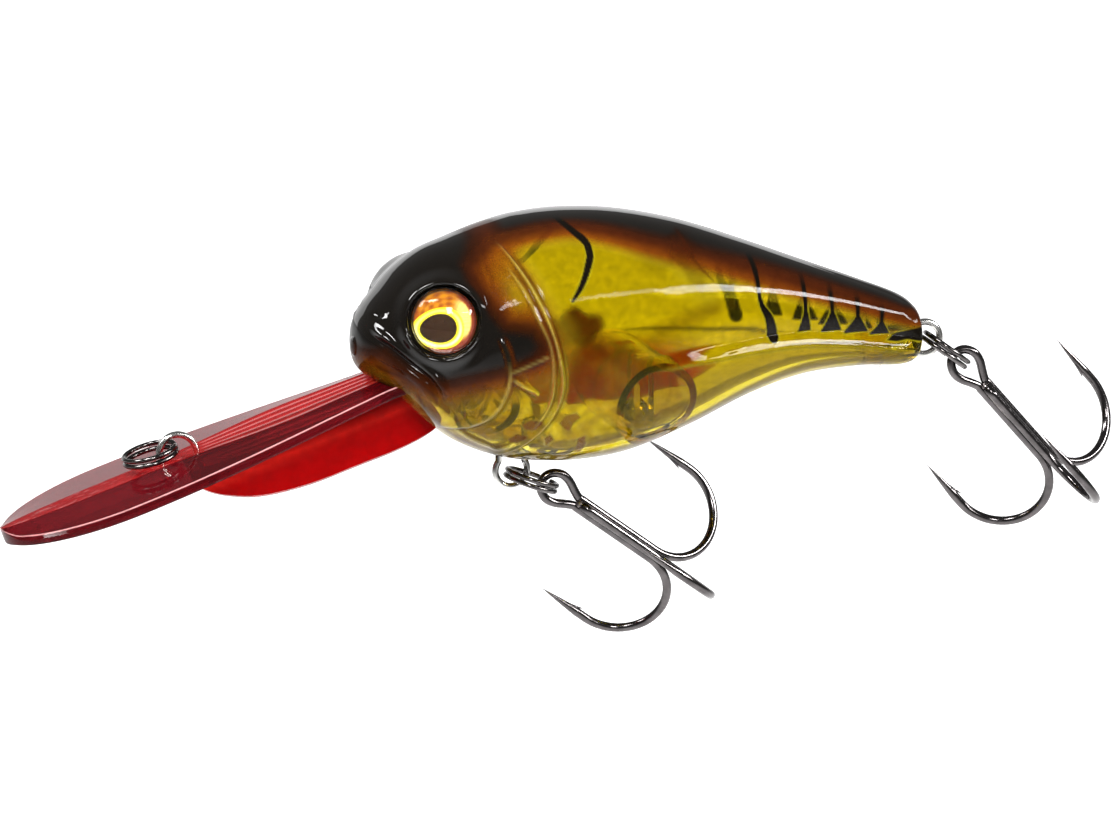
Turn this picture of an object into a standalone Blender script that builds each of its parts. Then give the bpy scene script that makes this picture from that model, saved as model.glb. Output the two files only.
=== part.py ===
"""Deep-diving crankbait: a hollow two-part moulded body with a fish's head, a long diving lip with a keel,
wire hangers at the line tie, the belly and the tail, split rings, two treble hooks, domed eyes and a rattle.

Lengths below are in millimetres and become metres where a point is placed. Lure coordinates start at the
nose tip: x runs back along the body, y to the fish's right, z up. The part's own origin is inside the
line-tie loop, where a split ring or a snap hangs.
"""

from math import asin, cos, pi, radians, sin, tau

import bmesh
import bpy
from mathutils import Matrix, Vector

MM = 0.001

# Nose tip as seen from the line tie
NOSE_BEHIND_TIE = 21.35
NOSE_ABOVE_TIE = 11.7

# Body, station by station: distance from the nose, top, bottom, half width
BODY_STATIONS = (
    (0.40, -0.10, -2.30, 1.20),
    (0.75, 1.70, -3.50, 2.90),
    (1.50, 3.10, -4.40, 4.40),
    (3.00, 4.90, -5.40, 6.00),
    (5.50, 7.60, -7.20, 7.80),
    (8.70, 9.75, -10.20, 9.50),
    (12.2, 11.05, -12.95, 10.80),
    (16.7, 12.50, -14.95, 11.90),
    (21.0, 13.45, -15.85, 12.30),
    (26.5, 13.75, -16.20, 12.40),
    (33.0, 13.20, -15.50, 11.80),
    (40.4, 11.50, -13.00, 10.50),
    (48.0, 8.80, -9.75, 8.70),
    (55.0, 6.05, -7.75, 6.90),
    (62.0, 3.30, -7.25, 5.30),
    (67.2, 1.10, -7.45, 4.30),
    (69.3, -0.50, -6.85, 3.40),
    (69.9, -2.20, -5.20, 1.80),
)
STEPS_PER_STATION = 2
STEPS_AROUND = 14
SECTION_POWER = 2.15  # 2 is an ellipse, more is squarer
WIDEST_SHARE = 0.5  # height of the widest line, as a share from bottom to top
WALL = 1.3
SEAM_GAP = 0.3
FIT = 0.3  # gap round everything that sits in a slot or pocket

# Eye: place on the body, direction its axis turns towards the nose and up, sizes
EYE_X = 8.9
EYE_Y = 8.6
EYE_Z = 3.0
EYE_TOE_IN = 19
EYE_LIFT = 12
SOCKET_RADIUS = 4.6
SOCKET_RIM = 0.4
SOCKET_DEPTH = 3.0
EYE_RADIUS = 3.8
EYE_POCKET = 1.1
POCKET_REACH = 8.0  # how far the cut for the eye runs, out past the skin
IRIS_THICKNESS = 0.35
LENS_EDGE = 0.35
LENS_DOME = 1.45

# Diving lip: u runs forward from the line tie along the plate, w up from its top face
LIP_SLOPE = 18.6
TIE_ABOVE_LIP = 1.3
LIP_TIP = 22.7
LIP_WIDEST = 8.0
LIP_HALF_WIDTH = 10.7
LIP_ROOT = -25.0
LIP_ROOT_HALF_WIDTH = 6.0
LIP_TONGUE = -31.0
LIP_SLOT_FRONT = -17.0
LIP_THICKNESS = 1.9
LIP_BEVEL = 0.45
KEEL_THICKNESS = 1.5
KEEL_OUTLINE = (
    (-20.4, -13.2),
    (-19.6, -15.4),
    (-18.3, -17.0),
    (-15.4, -18.1),
    (-10.9, -18.5),
    (-5.0, -17.5),
    (0.7, -15.7),
    (5.9, -14.0),
    (9.6, -12.3),
    (11.6, -10.6),
    (9.2, -5.0),
)

# Wire loops, split rings and hooks
LOOP_WIRE = 0.4
TIE_LOOP_HALF = 2.3
TIE_LOOP_HEIGHT = 2.6
TIE_LEG = 1.15
BELLY_LOOP = (19.7, -17.3)
TAIL_LOOP = (70.75, -4.6)
HANGER_RADIUS = 1.95
HANGER_HALF_OPEN = 1.55  # half the gap between the legs
HANGER_LEG = 4.6
HANGER_FOOT = 1.6
HANGER_CORNER = ((0.25, 0.35), (0.9, 0.0))  # bend from foot to leg: distance up the leg, distance out
RING_RADIUS = 3.1
RING_COIL_WIDE = 0.28
RING_COIL_HIGH = 0.3
RING_COIL_GAP = 0.1
RING_CROSSOVER = radians(32)
RING_END_GAP = radians(4)
RING_START = radians(60)
LINE_RING_RISE = 3.0
BELLY_RING_AT = (19.25, -17.6)
BELLY_RING_SLOPE = 20.0
TAIL_RING_AT = (70.95, -4.35)
TAIL_RING_SLOPE = 37.0
BELLY_HOOK_SLOPE = 36.5
TAIL_HOOK_SLOPE = 49.0
EYE_ON_RING = 0.4  # how far the hook's eye centre lies past the ring's wire

HOOK_WIRE = 0.53
HOOK_SHANK_OFFSET = 0.65
HOOK_THIRD_OFFSET = 0.78
HOOK_BEND_RADIUS = 5.9
HOOK_BEND_AT = 14.6
HOOK_POINT_AT = 8.0
HOOK_TAPER = 4.5
HOOK_EYE = ((2.9, 0.56), (1.9, 0.98), (0.7, 1.55), (-0.5, 1.72), (-1.6, 1.25), (-2.15, 0.45))
HOOK_THIRD_TOP = 3.4

# Rattle drum, its ball, and the ballast ball
DRUM_X = 34.8
DRUM_Z = -8.5
DRUM_OUTER = 5.2
DRUM_WALL = 0.9
RATTLE_RADIUS = 1.6
BALLAST_X = 14.4
BALLAST_Z = -7.6
BALLAST_RADIUS = 2.2
BALLAST_CUP = BALLAST_RADIUS + FIT + DRUM_WALL
RIB_THICKNESS = 1.4
RIB_INNER_FACE = 2.3
BLOCK_INNER_FACE = 0.25
BLOCK_HALF_WIDTH = 1.9
BELLY_BLOCK_X = (15.9, 23.6)
BELLY_BLOCK_TOP = -11.8
TAIL_BLOCK_X = (62.6, 68.6)

LEFT = -1
RIGHT = 1
SIDE_NAMES = {LEFT: "left", RIGHT: "right"}
GUIDES = "guides"


def at(x, y, z):
    """A point in lure coordinates, as metres from the line tie."""
    return Vector(((x + NOSE_BEHIND_TIE) * MM, y * MM, (z + NOSE_ABOVE_TIE) * MM))


def on_lip(u, y, w):
    """A point on the lip: u forward from the line tie, w above its top face."""
    slope = radians(LIP_SLOPE)
    w = w - TIE_ABOVE_LIP
    return Vector(
        ((-u * cos(slope) - w * sin(slope)) * MM, y * MM, (-u * sin(slope) + w * cos(slope)) * MM)
    )


# ---------------------------------------------------------------- materials and mesh helpers


def material(name, colour, roughness, metallic=0.0, transmission=0.0):
    made = bpy.data.materials.new(name)
    made.use_nodes = True
    shader = made.node_tree.nodes["Principled BSDF"]
    shader.inputs["Base Color"].default_value = (*colour, 1)
    shader.inputs["Roughness"].default_value = roughness
    shader.inputs["Metallic"].default_value = metallic
    shader.inputs["Transmission Weight"].default_value = transmission
    made.diffuse_color = (*colour, 1)
    return made


def piece(name, mesh_builder, finish, origin=Vector((0, 0, 0))):
    """One named object from a bmesh, with its origin moved to a point of the frame."""
    mesh = bpy.data.meshes.new(name)
    bmesh.ops.recalc_face_normals(mesh_builder, faces=mesh_builder.faces)
    if mesh_builder.calc_volume(signed=True) < 0:
        bmesh.ops.reverse_faces(mesh_builder, faces=mesh_builder.faces)
    bmesh.ops.translate(mesh_builder, verts=mesh_builder.verts, vec=-origin)
    mesh_builder.to_mesh(mesh)
    mesh_builder.free()
    made = bpy.data.objects.new(name, mesh)
    made.location = origin
    bpy.context.collection.objects.link(made)
    mesh.shade_smooth()
    mesh.set_sharp_from_angle(angle=radians(40))
    if finish is not None:
        mesh.materials.append(finish)
    return made


def combine(target, tool, operation):
    """Add or cut away a tool shape, which itself isn't a part."""
    tool.hide_render = True
    tool.display_type = "WIRE"
    boolean = target.modifiers.new(tool.name, "BOOLEAN")
    boolean.object = tool
    boolean.operation = operation
    boolean.solver = "EXACT"


def sweep(path, section_at):
    """A closed solid along a path; section_at(i) gives the cross-section's points there, as (side, up)."""
    shape = bmesh.new()
    across = None
    rings = []
    for i, point in enumerate(path):
        before = path[max(i - 1, 0)]
        after = path[min(i + 1, len(path) - 1)]
        along = (after - before).normalized()
        if across is None:
            across = start_side(along)
        across = (across - along * across.dot(along)).normalized()
        up = along.cross(across)
        rings.append([shape.verts.new(point + across * s + up * t) for s, t in section_at(i)])
    for low, high in zip(rings, rings[1:]):
        count = len(low)
        for k in range(count):
            m = (k + 1) % count
            shape.faces.new((low[k], low[m], high[m], high[k]))
    shape.faces.new(rings[0])
    shape.faces.new(rings[-1][::-1])
    return shape


def start_side(along):
    """A side direction that stays sensible for wires bent in the lure's mid-plane."""
    y = Vector((0, 1, 0))
    if abs(along.dot(y)) > 0.95:
        y = Vector((0, 0, 1))
    return (y - along * y.dot(along)).normalized()


def wire(path, radius, sides=8, taper_start=0.0, taper_end=0.0, tip=0.12):
    """A round wire along a path in metres, with its ends drawn out to points where a taper is given."""
    lengths = [0.0]
    for a, b in zip(path, path[1:]):
        lengths.append(lengths[-1] + (b - a).length)

    def section(i):
        here = radius
        if taper_start:
            here = min(here, radius * max(tip, lengths[i] / taper_start))
        if taper_end:
            here = min(here, radius * max(tip, (lengths[-1] - lengths[i]) / taper_end))
        turn = [tau * (k + 0.5) / sides for k in range(sides)]
        return [(here * cos(t), here * sin(t)) for t in turn]

    return sweep(path, section)


def cylinder(base, axis, radius, length, sides=36):
    """A plain cylinder from a base point along an axis, for sockets, pockets and pins."""
    shape = bmesh.new()
    turn = Vector((0, 0, 1)).rotation_difference(axis.normalized()).to_matrix().to_4x4()
    middle = base + axis.normalized() * length / 2
    bmesh.ops.create_cone(
        shape,
        cap_ends=True,
        segments=sides,
        radius1=radius,
        radius2=radius,
        depth=length,
        matrix=Matrix.Translation(middle) @ turn,
    )
    return shape


def turned(profile, base, axis, sides=36):
    """A solid turned about an axis; the profile is (radius, height) from the axis out and back to it."""
    shape = bmesh.new()
    turn = Vector((0, 0, 1)).rotation_difference(axis.normalized()).to_matrix().to_4x4()
    place = Matrix.Translation(base) @ turn
    rows = []
    for radius, height in profile:
        if radius == 0:
            rows.append([shape.verts.new(place @ Vector((0, 0, height)))])
            continue
        rows.append(
            [
                shape.verts.new(place @ Vector((radius * cos(t), radius * sin(t), height)))
                for t in (tau * k / sides for k in range(sides))
            ]
        )
    for low, high in zip(rows, rows[1:]):
        for k in range(sides):
            m = (k + 1) % sides
            corners = [low[k % len(low)], low[m % len(low)], high[m % len(high)], high[k % len(high)]]
            shape.faces.new(list(dict.fromkeys(corners)))
    return shape


def ball(centre, radius):
    shape = bmesh.new()
    bmesh.ops.create_icosphere(shape, subdivisions=3, radius=radius, matrix=Matrix.Translation(centre))
    return shape


# ---------------------------------------------------------------- body


def smooth_rows(rows, steps):
    """Rows of numbers with a smooth curve through them, each stretch cut into steps."""
    out = []
    for i in range(len(rows) - 1):
        a = rows[max(i - 1, 0)]
        b, c = rows[i], rows[i + 1]
        d = rows[min(i + 2, len(rows) - 1)]
        for k in range(steps):
            t = k / steps
            out.append(
                tuple(
                    0.5
                    * (
                        2 * q
                        + (r - p) * t
                        + (2 * p - 5 * q + 4 * r - s) * t * t
                        + (3 * q - p - 3 * r + s) * t**3
                    )
                    for p, q, r, s in zip(a, b, c, d)
                )
            )
    out.append(rows[-1])
    return out


BODY_ROWS = smooth_rows(BODY_STATIONS, STEPS_PER_STATION)


def body_at(x):
    """Top, bottom and half width of the body at a distance from the nose."""
    for before, after in zip(BODY_ROWS, BODY_ROWS[1:]):
        if before[0] <= x <= after[0]:
            share = (x - before[0]) / (after[0] - before[0])
            return [p + (q - p) * share for p, q in zip(before[1:], after[1:])]
    return list(BODY_ROWS[-1][1:])


def skin_y(x, z):
    """Half width of the outer skin at a place on the side."""
    top, bottom, half = body_at(x)
    middle = bottom + (top - bottom) * WIDEST_SHARE
    reach = (top - middle) if z > middle else (middle - bottom)
    share = min(abs(z - middle) / reach, 1)
    return half * (1 - share**SECTION_POWER) ** (1 / SECTION_POWER)


def half_skin(shape, side, inset):
    """One side of the body's surface, shrunk by inset: the rows of points, and its two end points."""
    rows = []
    length = BODY_ROWS[-1][0]
    for x, top, bottom, half in BODY_ROWS:
        x = inset + x * (length - 2 * inset) / length
        shrink = min(inset, (top - bottom) * 0.35, half * 0.6)
        top, bottom, half = top - shrink, bottom + shrink, half - shrink
        middle = bottom + (top - bottom) * WIDEST_SHARE
        row = []
        for k in range(STEPS_AROUND + 1):
            t = pi * k / STEPS_AROUND
            y = SEAM_GAP / 2 + (half - SEAM_GAP / 2) * abs(sin(t)) ** (2 / SECTION_POWER)
            reach = top - middle if k * 2 <= STEPS_AROUND else middle - bottom
            z = middle + reach * (1 if cos(t) > 0 else -1) * abs(cos(t)) ** (2 / SECTION_POWER)
            row.append(shape.verts.new(at(x, side * y, z)))
        rows.append(row)
    ends = []
    for row in (rows[0], rows[-1]):
        middle = (row[0].co + row[-1].co) / 2
        ends.append(shape.verts.new(middle))
    return rows, ends


def shell_half(side):
    """Outer skin, inner skin and the flat seam between them."""
    shape = bmesh.new()
    loops = []
    for inset in (0.0, WALL):
        rows, ends = half_skin(shape, side, inset)
        for low, high in zip(rows, rows[1:]):
            for k in range(STEPS_AROUND):
                shape.faces.new((low[k], low[k + 1], high[k + 1], high[k]))
        for row, end in ((rows[0], ends[0]), (rows[-1], ends[1])):
            for k in range(STEPS_AROUND):
                shape.faces.new((row[k], row[k + 1], end))
        top_edge = [row[0] for row in rows]
        bottom_edge = [row[-1] for row in rows]
        loops.append([ends[0], *top_edge, ends[1], *bottom_edge[::-1]])
    outer, inner = loops
    for k in range(len(outer)):
        m = (k + 1) % len(outer)
        shape.faces.new((outer[k], outer[m], inner[m], inner[k]))
    return shape


def drum_half(side, middle_x, middle_z, outer, thickness):
    """Half of a round chamber: a ring wall from the seam out into the body's side."""
    shape = bmesh.new()
    sides = 28
    inner = outer - thickness
    rows = [[], [], [], []]
    for k in range(sides):
        t = tau * k / sides
        for row, radius, far in ((0, outer, 0), (1, outer, 1), (2, inner, 1), (3, inner, 0)):
            x = middle_x + radius * cos(t)
            z = middle_z + radius * sin(t)
            y = skin_y(x, z) - WALL / 2 if far else SEAM_GAP / 2
            rows[row].append(shape.verts.new(at(x, side * y, z)))
    for a, b in ((0, 1), (1, 2), (2, 3), (3, 0)):
        for k in range(sides):
            m = (k + 1) % sides
            shape.faces.new((rows[a][k], rows[a][m], rows[b][m], rows[b][k]))
    return shape


def block(side, x_range, z_low, z_high, y_near, y_far):
    """A moulded block or rib between the seam and the body's wall; the z and y limits are functions of x."""
    shape = bmesh.new()
    corners = []
    for x in x_range:
        for z in (z_low(x), z_high(x)):
            for y in (y_near, y_far(x, z)):
                corners.append(shape.verts.new(at(x, side * y, z)))
    for a, b, c, d in ((0, 1, 3, 2), (4, 5, 7, 6), (0, 1, 5, 4), (2, 3, 7, 6), (0, 2, 6, 4), (1, 3, 7, 5)):
        shape.faces.new([corners[i] for i in (a, b, c, d)])
    return shape


def eye_axis(side):
    """The way an eye looks: out to its side, a little forward and up."""
    toe, lift = radians(EYE_TOE_IN), radians(EYE_LIFT)
    return Vector((-sin(toe) * cos(lift), side * cos(toe) * cos(lift), sin(lift)))


def add_body_half(side, finish):
    name = SIDE_NAMES[side]
    shell = piece("body_shell_" + name, shell_half(side), finish)
    eye = at(EYE_X, side * EYE_Y, EYE_Z)
    axis = eye_axis(side)
    socket_length = (SOCKET_DEPTH + SOCKET_RIM) * MM
    socket = cylinder(eye - axis * SOCKET_DEPTH * MM, axis, SOCKET_RADIUS * MM, socket_length)
    pocket = cylinder(eye - axis * EYE_POCKET * MM, axis, (EYE_RADIUS + FIT) * MM, POCKET_REACH * MM)

    def to_wall(x, z):
        return skin_y(x, z) - WALL / 2

    def narrow(x, z):
        return BLOCK_HALF_WIDTH

    belly_block = block(
        side,
        BELLY_BLOCK_X,
        lambda x: body_at(x)[1] + WALL / 2,
        lambda x: BELLY_BLOCK_TOP,
        BLOCK_INNER_FACE,
        narrow,
    )
    tail_block = block(
        side,
        TAIL_BLOCK_X,
        lambda x: body_at(x)[1] + WALL / 2,
        lambda x: body_at(x)[0] - WALL / 2,
        BLOCK_INNER_FACE,
        narrow,
    )
    rib = block(
        side,
        (DRUM_X - RIB_THICKNESS / 2, DRUM_X + RIB_THICKNESS / 2),
        lambda x: DRUM_Z - DRUM_OUTER + DRUM_WALL / 2,
        lambda x: DRUM_Z + DRUM_OUTER - DRUM_WALL / 2,
        RIB_INNER_FACE,
        to_wall,
    )
    additions = (
        ("socket", socket),
        ("drum", drum_half(side, DRUM_X, DRUM_Z, DRUM_OUTER, DRUM_WALL)),
        ("ballast_cup", drum_half(side, BALLAST_X, BALLAST_Z, BALLAST_CUP, DRUM_WALL)),
        ("rib", rib),
        ("belly_block", belly_block),
        ("tail_block", tail_block),
    )
    for label, shape in additions:
        combine(shell, piece(f"{GUIDES}_{label}_{name}", shape, None), "UNION")
    cuts = (
        ("pocket", pocket),
        ("lip_slot", lip_plate(FIT, LIP_SLOT_FRONT)),
        ("keel_slot", keel_plate(FIT)),
        ("belly_wire", wire(belly_hanger_path(), (LOOP_WIRE + FIT) * MM)),
        ("tail_wire", wire(tail_hanger_path(), (LOOP_WIRE + FIT) * MM)),
    )
    for label, shape in cuts:
        combine(shell, piece(f"{GUIDES}_{label}_{name}", shape, None), "DIFFERENCE")
    return shell


def add_eye(side, iris_finish, lens_finish):
    """A printed foil disc under a clear dome, in the socket of one side."""
    name = SIDE_NAMES[side]
    axis = eye_axis(side)
    floor = at(EYE_X, side * EYE_Y, EYE_Z) - axis * (EYE_POCKET - FIT / 2) * MM
    iris = cylinder(floor, axis, EYE_RADIUS * MM, IRIS_THICKNESS * MM)
    piece("eye_iris_" + name, iris, iris_finish)
    radius = EYE_RADIUS * MM
    dome = [(0, 0), (radius, 0), (radius, LENS_EDGE * MM)]
    rings = 7
    for k in range(1, rings):
        t = pi / 2 * k / rings
        dome.append((radius * cos(t), (LENS_EDGE + LENS_DOME * sin(t)) * MM))
    dome.append((0, (LENS_EDGE + LENS_DOME) * MM))
    lens_base = floor + axis * (IRIS_THICKNESS + FIT / 2) * MM
    piece("eye_lens_" + name, turned(dome, lens_base, axis), lens_finish)


# ---------------------------------------------------------------- lip


def lip_half_width(u):
    """The plate's half width: a long round front, then a straight taper to the root."""
    if u > LIP_WIDEST:
        share = (u - LIP_WIDEST) / (LIP_TIP - LIP_WIDEST)
        return LIP_HALF_WIDTH * max(1 - share * share, 0) ** 0.5
    share = max((u - LIP_ROOT) / (LIP_WIDEST - LIP_ROOT), 0)
    return LIP_ROOT_HALF_WIDTH + (LIP_HALF_WIDTH - LIP_ROOT_HALF_WIDTH) * sin(share * pi / 2) ** 1.15


def lip_plate(grow=0.0, front=None):
    """The plate with bevelled edges. Grown all round and stopped at a front, it is the slot for the root."""
    shape = bmesh.new()
    steps = 22
    stations = []
    start = LIP_TONGUE - grow
    if front is None:
        for k in range(steps):
            stations.append(start + (LIP_WIDEST - start) * k / steps)
        for k in range(steps + 1):
            stations.append(LIP_WIDEST + (LIP_TIP - LIP_WIDEST) * sin(pi / 2 * k / steps) * 0.9995)
    else:
        stations = [start + (front - start) * k / 6 for k in range(7)]
    bevel = min(LIP_BEVEL, LIP_THICKNESS / 2)
    rows = []
    for u in stations:
        half = lip_half_width(u) + grow
        low, high = -LIP_THICKNESS - grow, grow
        inner = max(half - 2 * bevel, half * 0.5)
        section = (
            (inner, high),
            (half, high - bevel),
            (half, low + bevel),
            (inner, low),
            (-inner, low),
            (-half, low + bevel),
            (-half, high - bevel),
            (-inner, high),
        )
        rows.append([shape.verts.new(on_lip(u, y, w)) for y, w in section])
    for low, high in zip(rows, rows[1:]):
        for k in range(len(low)):
            m = (k + 1) % len(low)
            shape.faces.new((low[k], low[m], high[m], high[k]))
    shape.faces.new(rows[0])
    shape.faces.new(rows[-1][::-1])
    return shape


def keel_plate(grow=0.0):
    """The upright fin under the plate, grown all round for the slot in the chin."""
    shape = bmesh.new()
    middle_x = sum(x for x, z in KEEL_OUTLINE) / len(KEEL_OUTLINE)
    middle_z = sum(z for x, z in KEEL_OUTLINE) / len(KEEL_OUTLINE)
    faces = []
    for y in (-KEEL_THICKNESS / 2 - grow, KEEL_THICKNESS / 2 + grow):
        ring = []
        for x, z in KEEL_OUTLINE:
            out = Vector((x - middle_x, z - middle_z)).normalized() * grow
            ring.append(shape.verts.new(at(x + out.x, y, z + out.y)))
        faces.append(ring)
    near, far = faces
    shape.faces.new(near)
    shape.faces.new(far[::-1])
    for k in range(len(near)):
        m = (k + 1) % len(near)
        shape.faces.new((near[k], far[k], far[m], near[m]))
    return shape


def add_lip(finish):
    lip = piece("diving_lip", lip_plate(), finish)
    combine(lip, piece(GUIDES + "_keel", keel_plate(), None), "UNION")
    socket = wire(tie_loop_path(), (LOOP_WIRE + FIT / 2) * MM)
    combine(lip, piece(GUIDES + "_tie_holes", socket, None), "DIFFERENCE")
    return lip


# ---------------------------------------------------------------- wires and rings


def tie_loop_path():
    """An arch over the lip, with its legs let into the plate."""
    path = [on_lip(TIE_LOOP_HALF, 0, -TIE_LEG)]
    steps = 14
    for k in range(steps + 1):
        t = pi * k / steps
        path.append(on_lip(TIE_LOOP_HALF * cos(t), 0, TIE_LOOP_HEIGHT * sin(t)))
    path.append(on_lip(-TIE_LOOP_HALF, 0, -TIE_LEG))
    return path


def hanger_path(centre, out):
    """A round loop outside the body, two legs through the wall and splayed feet inside.

    out is the loop's direction away from the body, in the mid-plane.
    """
    across = Vector((-out.y, out.x))
    neck = asin(HANGER_HALF_OPEN / HANGER_RADIUS)
    steps = 16
    leg_end = -HANGER_RADIUS * cos(neck) - HANGER_LEG
    leg = [(leg_end, HANGER_HALF_OPEN + HANGER_FOOT)]
    for rise, aside in HANGER_CORNER:
        leg.append((leg_end + rise, HANGER_HALF_OPEN + aside))
    flat = list(leg)
    for k in range(steps + 1):
        t = pi - neck - (2 * pi - 2 * neck) * k / steps
        flat.append((HANGER_RADIUS * cos(t), HANGER_RADIUS * sin(t)))
    for a, b in reversed(leg):
        flat.append((a, -b))
    path = []
    for a, b in flat:
        spot = Vector(centre) + out * a + across * b
        path.append(at(spot.x, 0, spot.y))
    return path


def belly_hanger_path():
    return hanger_path(BELLY_LOOP, Vector((0.0, -1.0)))


def tail_hanger_path():
    return hanger_path(TAIL_LOOP, Vector((1.0, 0.0)))


def split_ring(held_at, direction, steps_per_turn=28):
    """Two flat turns of wire, with a crossover between them.

    held_at is where the ring's wire passes through its loop, direction the way to the ring's centre.
    """
    y = Vector((0, 1, 0))
    normal = direction.cross(y).normalized()
    centre = held_at + direction * RING_RADIUS * MM
    lift = RING_COIL_HIGH + RING_COIL_GAP / 2
    end = 2 * tau - RING_CROSSOVER - RING_END_GAP
    steps = int(end / tau * steps_per_turn)
    path = []
    sides = 8
    wide = RING_COIL_WIDE / cos(pi / sides) * MM
    high = RING_COIL_HIGH / cos(pi / sides) * MM
    for k in range(steps + 1):
        t = end * k / steps
        share = min(max((t - (tau - RING_CROSSOVER)) / RING_CROSSOVER, 0), 1)
        height = lift * (2 * share * share * (3 - 2 * share) - 1)
        angle = t + RING_START
        spoke = direction * cos(angle) + y * sin(angle)
        path.append((centre + spoke * RING_RADIUS * MM + normal * height * MM, spoke))
    shape = bmesh.new()
    rings = []
    for point, spoke in path:
        section = []
        for k in range(sides):
            t = tau * (k + 0.5) / sides
            section.append(shape.verts.new(point + spoke * wide * cos(t) + normal * high * sin(t)))
        rings.append(section)
    for before, after in zip(rings, rings[1:]):
        for k in range(sides):
            m = (k + 1) % sides
            shape.faces.new((before[k], before[m], after[m], after[k]))
    shape.faces.new(rings[0])
    shape.faces.new(rings[-1][::-1])
    return shape


def below(slope):
    """A direction in the mid-plane, back and down by a slope in degrees."""
    return Vector((cos(radians(slope)), 0, -sin(radians(slope))))


# ---------------------------------------------------------------- treble hooks


def hook_frame(eye, slope):
    """The hook's own axes: along the shank, and up from it in the mid-plane."""
    shank = below(slope)
    up = Vector((sin(radians(slope)), 0, cos(radians(slope))))
    return eye, shank, up


def hook_leg(frame, turn, offset):
    """Points from the top of a shank down round the bend to the point; turn is the hook's angle about it."""
    eye, shank, up = frame
    away = up * cos(turn) + Vector((0, 1, 0)) * sin(turn)
    flat = [(HOOK_THIRD_TOP + (HOOK_BEND_AT - HOOK_THIRD_TOP) * k / 4, offset) for k in range(4)]
    centre = offset + HOOK_BEND_RADIUS
    steps = 14
    for k in range(steps + 1):
        t = pi * k / steps
        flat.append((HOOK_BEND_AT + HOOK_BEND_RADIUS * sin(t), centre - HOOK_BEND_RADIUS * cos(t)))
    rise = 7
    for k in range(1, rise + 1):
        share = k / rise
        flat.append((HOOK_BEND_AT - (HOOK_BEND_AT - HOOK_POINT_AT) * share, centre + HOOK_BEND_RADIUS))
    return [eye + (shank * a + away * r) * MM for a, r in flat]


def double_hook(frame):
    """One wire: point, bend, shank, round the eye, shank, bend, point."""
    eye, shank, up = frame
    y = Vector((0, 1, 0))
    lower = hook_leg(frame, radians(150), HOOK_SHANK_OFFSET)
    upper = hook_leg(frame, radians(30), HOOK_SHANK_OFFSET)
    rise = HOOK_SHANK_OFFSET * sin(radians(30))
    lower_eye = []
    for k, (a, q) in enumerate(HOOK_EYE):
        share = max(1 - k / 3, 0)
        lower_eye.append((a, -q, rise * share))
    upper_eye = [(a, -q, b) for a, q, b in reversed(lower_eye)]
    ring = [eye + (shank * a + up * q + y * b) * MM for a, q, b in lower_eye + upper_eye]
    path = lower[::-1] + ring + upper
    taper = HOOK_TAPER * MM
    return wire(path, HOOK_WIRE * MM, taper_start=taper, taper_end=taper)


def third_hook(frame):
    path = hook_leg(frame, radians(-90), HOOK_THIRD_OFFSET)
    return wire(path, HOOK_WIRE * MM, taper_end=HOOK_TAPER * MM)


def add_treble(name, ring_at, ring_slope, hook_slope, finish, ring_finish):
    """A split ring on its hanger, with the two pieces of a treble hook on it."""
    held = at(ring_at[0], 0, ring_at[1])
    towards = below(ring_slope)
    piece(name + "_split_ring", split_ring(held, towards), ring_finish, origin=held)
    ring_centre = held + towards * RING_RADIUS * MM
    hook_eye = held + towards * 2 * RING_RADIUS * MM + below(hook_slope) * EYE_ON_RING * MM
    frame = hook_frame(hook_eye, hook_slope)
    piece(name + "_hook_double", double_hook(frame), finish, origin=ring_centre)
    piece(name + "_hook_third", third_hook(frame), finish, origin=ring_centre)


# ---------------------------------------------------------------- the whole lure


def main():
    for old in list(bpy.data.objects):
        bpy.data.objects.remove(old)

    clear_olive = material("clear_olive", (0.55, 0.47, 0.03), 0.08, transmission=0.6)
    clear_red = material("clear_red", (0.55, 0.01, 0.02), 0.06, transmission=0.6)
    bright_wire = material("bright_wire", (0.62, 0.61, 0.58), 0.2, metallic=1.0)
    dark_wire = material("dark_wire", (0.10, 0.095, 0.09), 0.22, metallic=1.0)
    hook_steel = material("hook_steel", (0.16, 0.15, 0.145), 0.2, metallic=1.0)
    iris_foil = material("iris_foil", (0.85, 0.45, 0.04), 0.3, metallic=0.4)
    clear_dome = material("clear_dome", (0.95, 0.95, 0.93), 0.03, transmission=0.9)
    ball_steel = material("ball_steel", (0.35, 0.34, 0.33), 0.25, metallic=1.0)

    for side in (LEFT, RIGHT):
        add_body_half(side, clear_olive)
        add_eye(side, iris_foil, clear_dome)
    add_lip(clear_red)

    piece("line_tie_wire", wire(tie_loop_path(), LOOP_WIRE * MM), bright_wire)
    piece("belly_hanger_wire", wire(belly_hanger_path(), LOOP_WIRE * MM), bright_wire)
    piece("tail_hanger_wire", wire(tail_hanger_path(), LOOP_WIRE * MM), bright_wire)

    rise = radians(LIP_SLOPE - LINE_RING_RISE)
    forward = Vector((-cos(rise), 0, -sin(rise)))
    piece("line_split_ring", split_ring(Vector((0, 0, 0)), forward), dark_wire)

    add_treble("belly", BELLY_RING_AT, BELLY_RING_SLOPE, BELLY_HOOK_SLOPE, hook_steel, dark_wire)
    add_treble("tail", TAIL_RING_AT, TAIL_RING_SLOPE, TAIL_HOOK_SLOPE, hook_steel, dark_wire)

    drum = at(DRUM_X, 0, DRUM_Z)
    low = at(DRUM_X, 0, DRUM_Z - (DRUM_OUTER - DRUM_WALL - RATTLE_RADIUS - FIT / 2))
    piece("rattle_ball", ball(low, RATTLE_RADIUS * MM), ball_steel, origin=drum)
    ballast = at(BALLAST_X, 0, BALLAST_Z)
    piece("ballast_ball", ball(ballast, BALLAST_RADIUS * MM), ball_steel, origin=ballast)


main()
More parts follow.
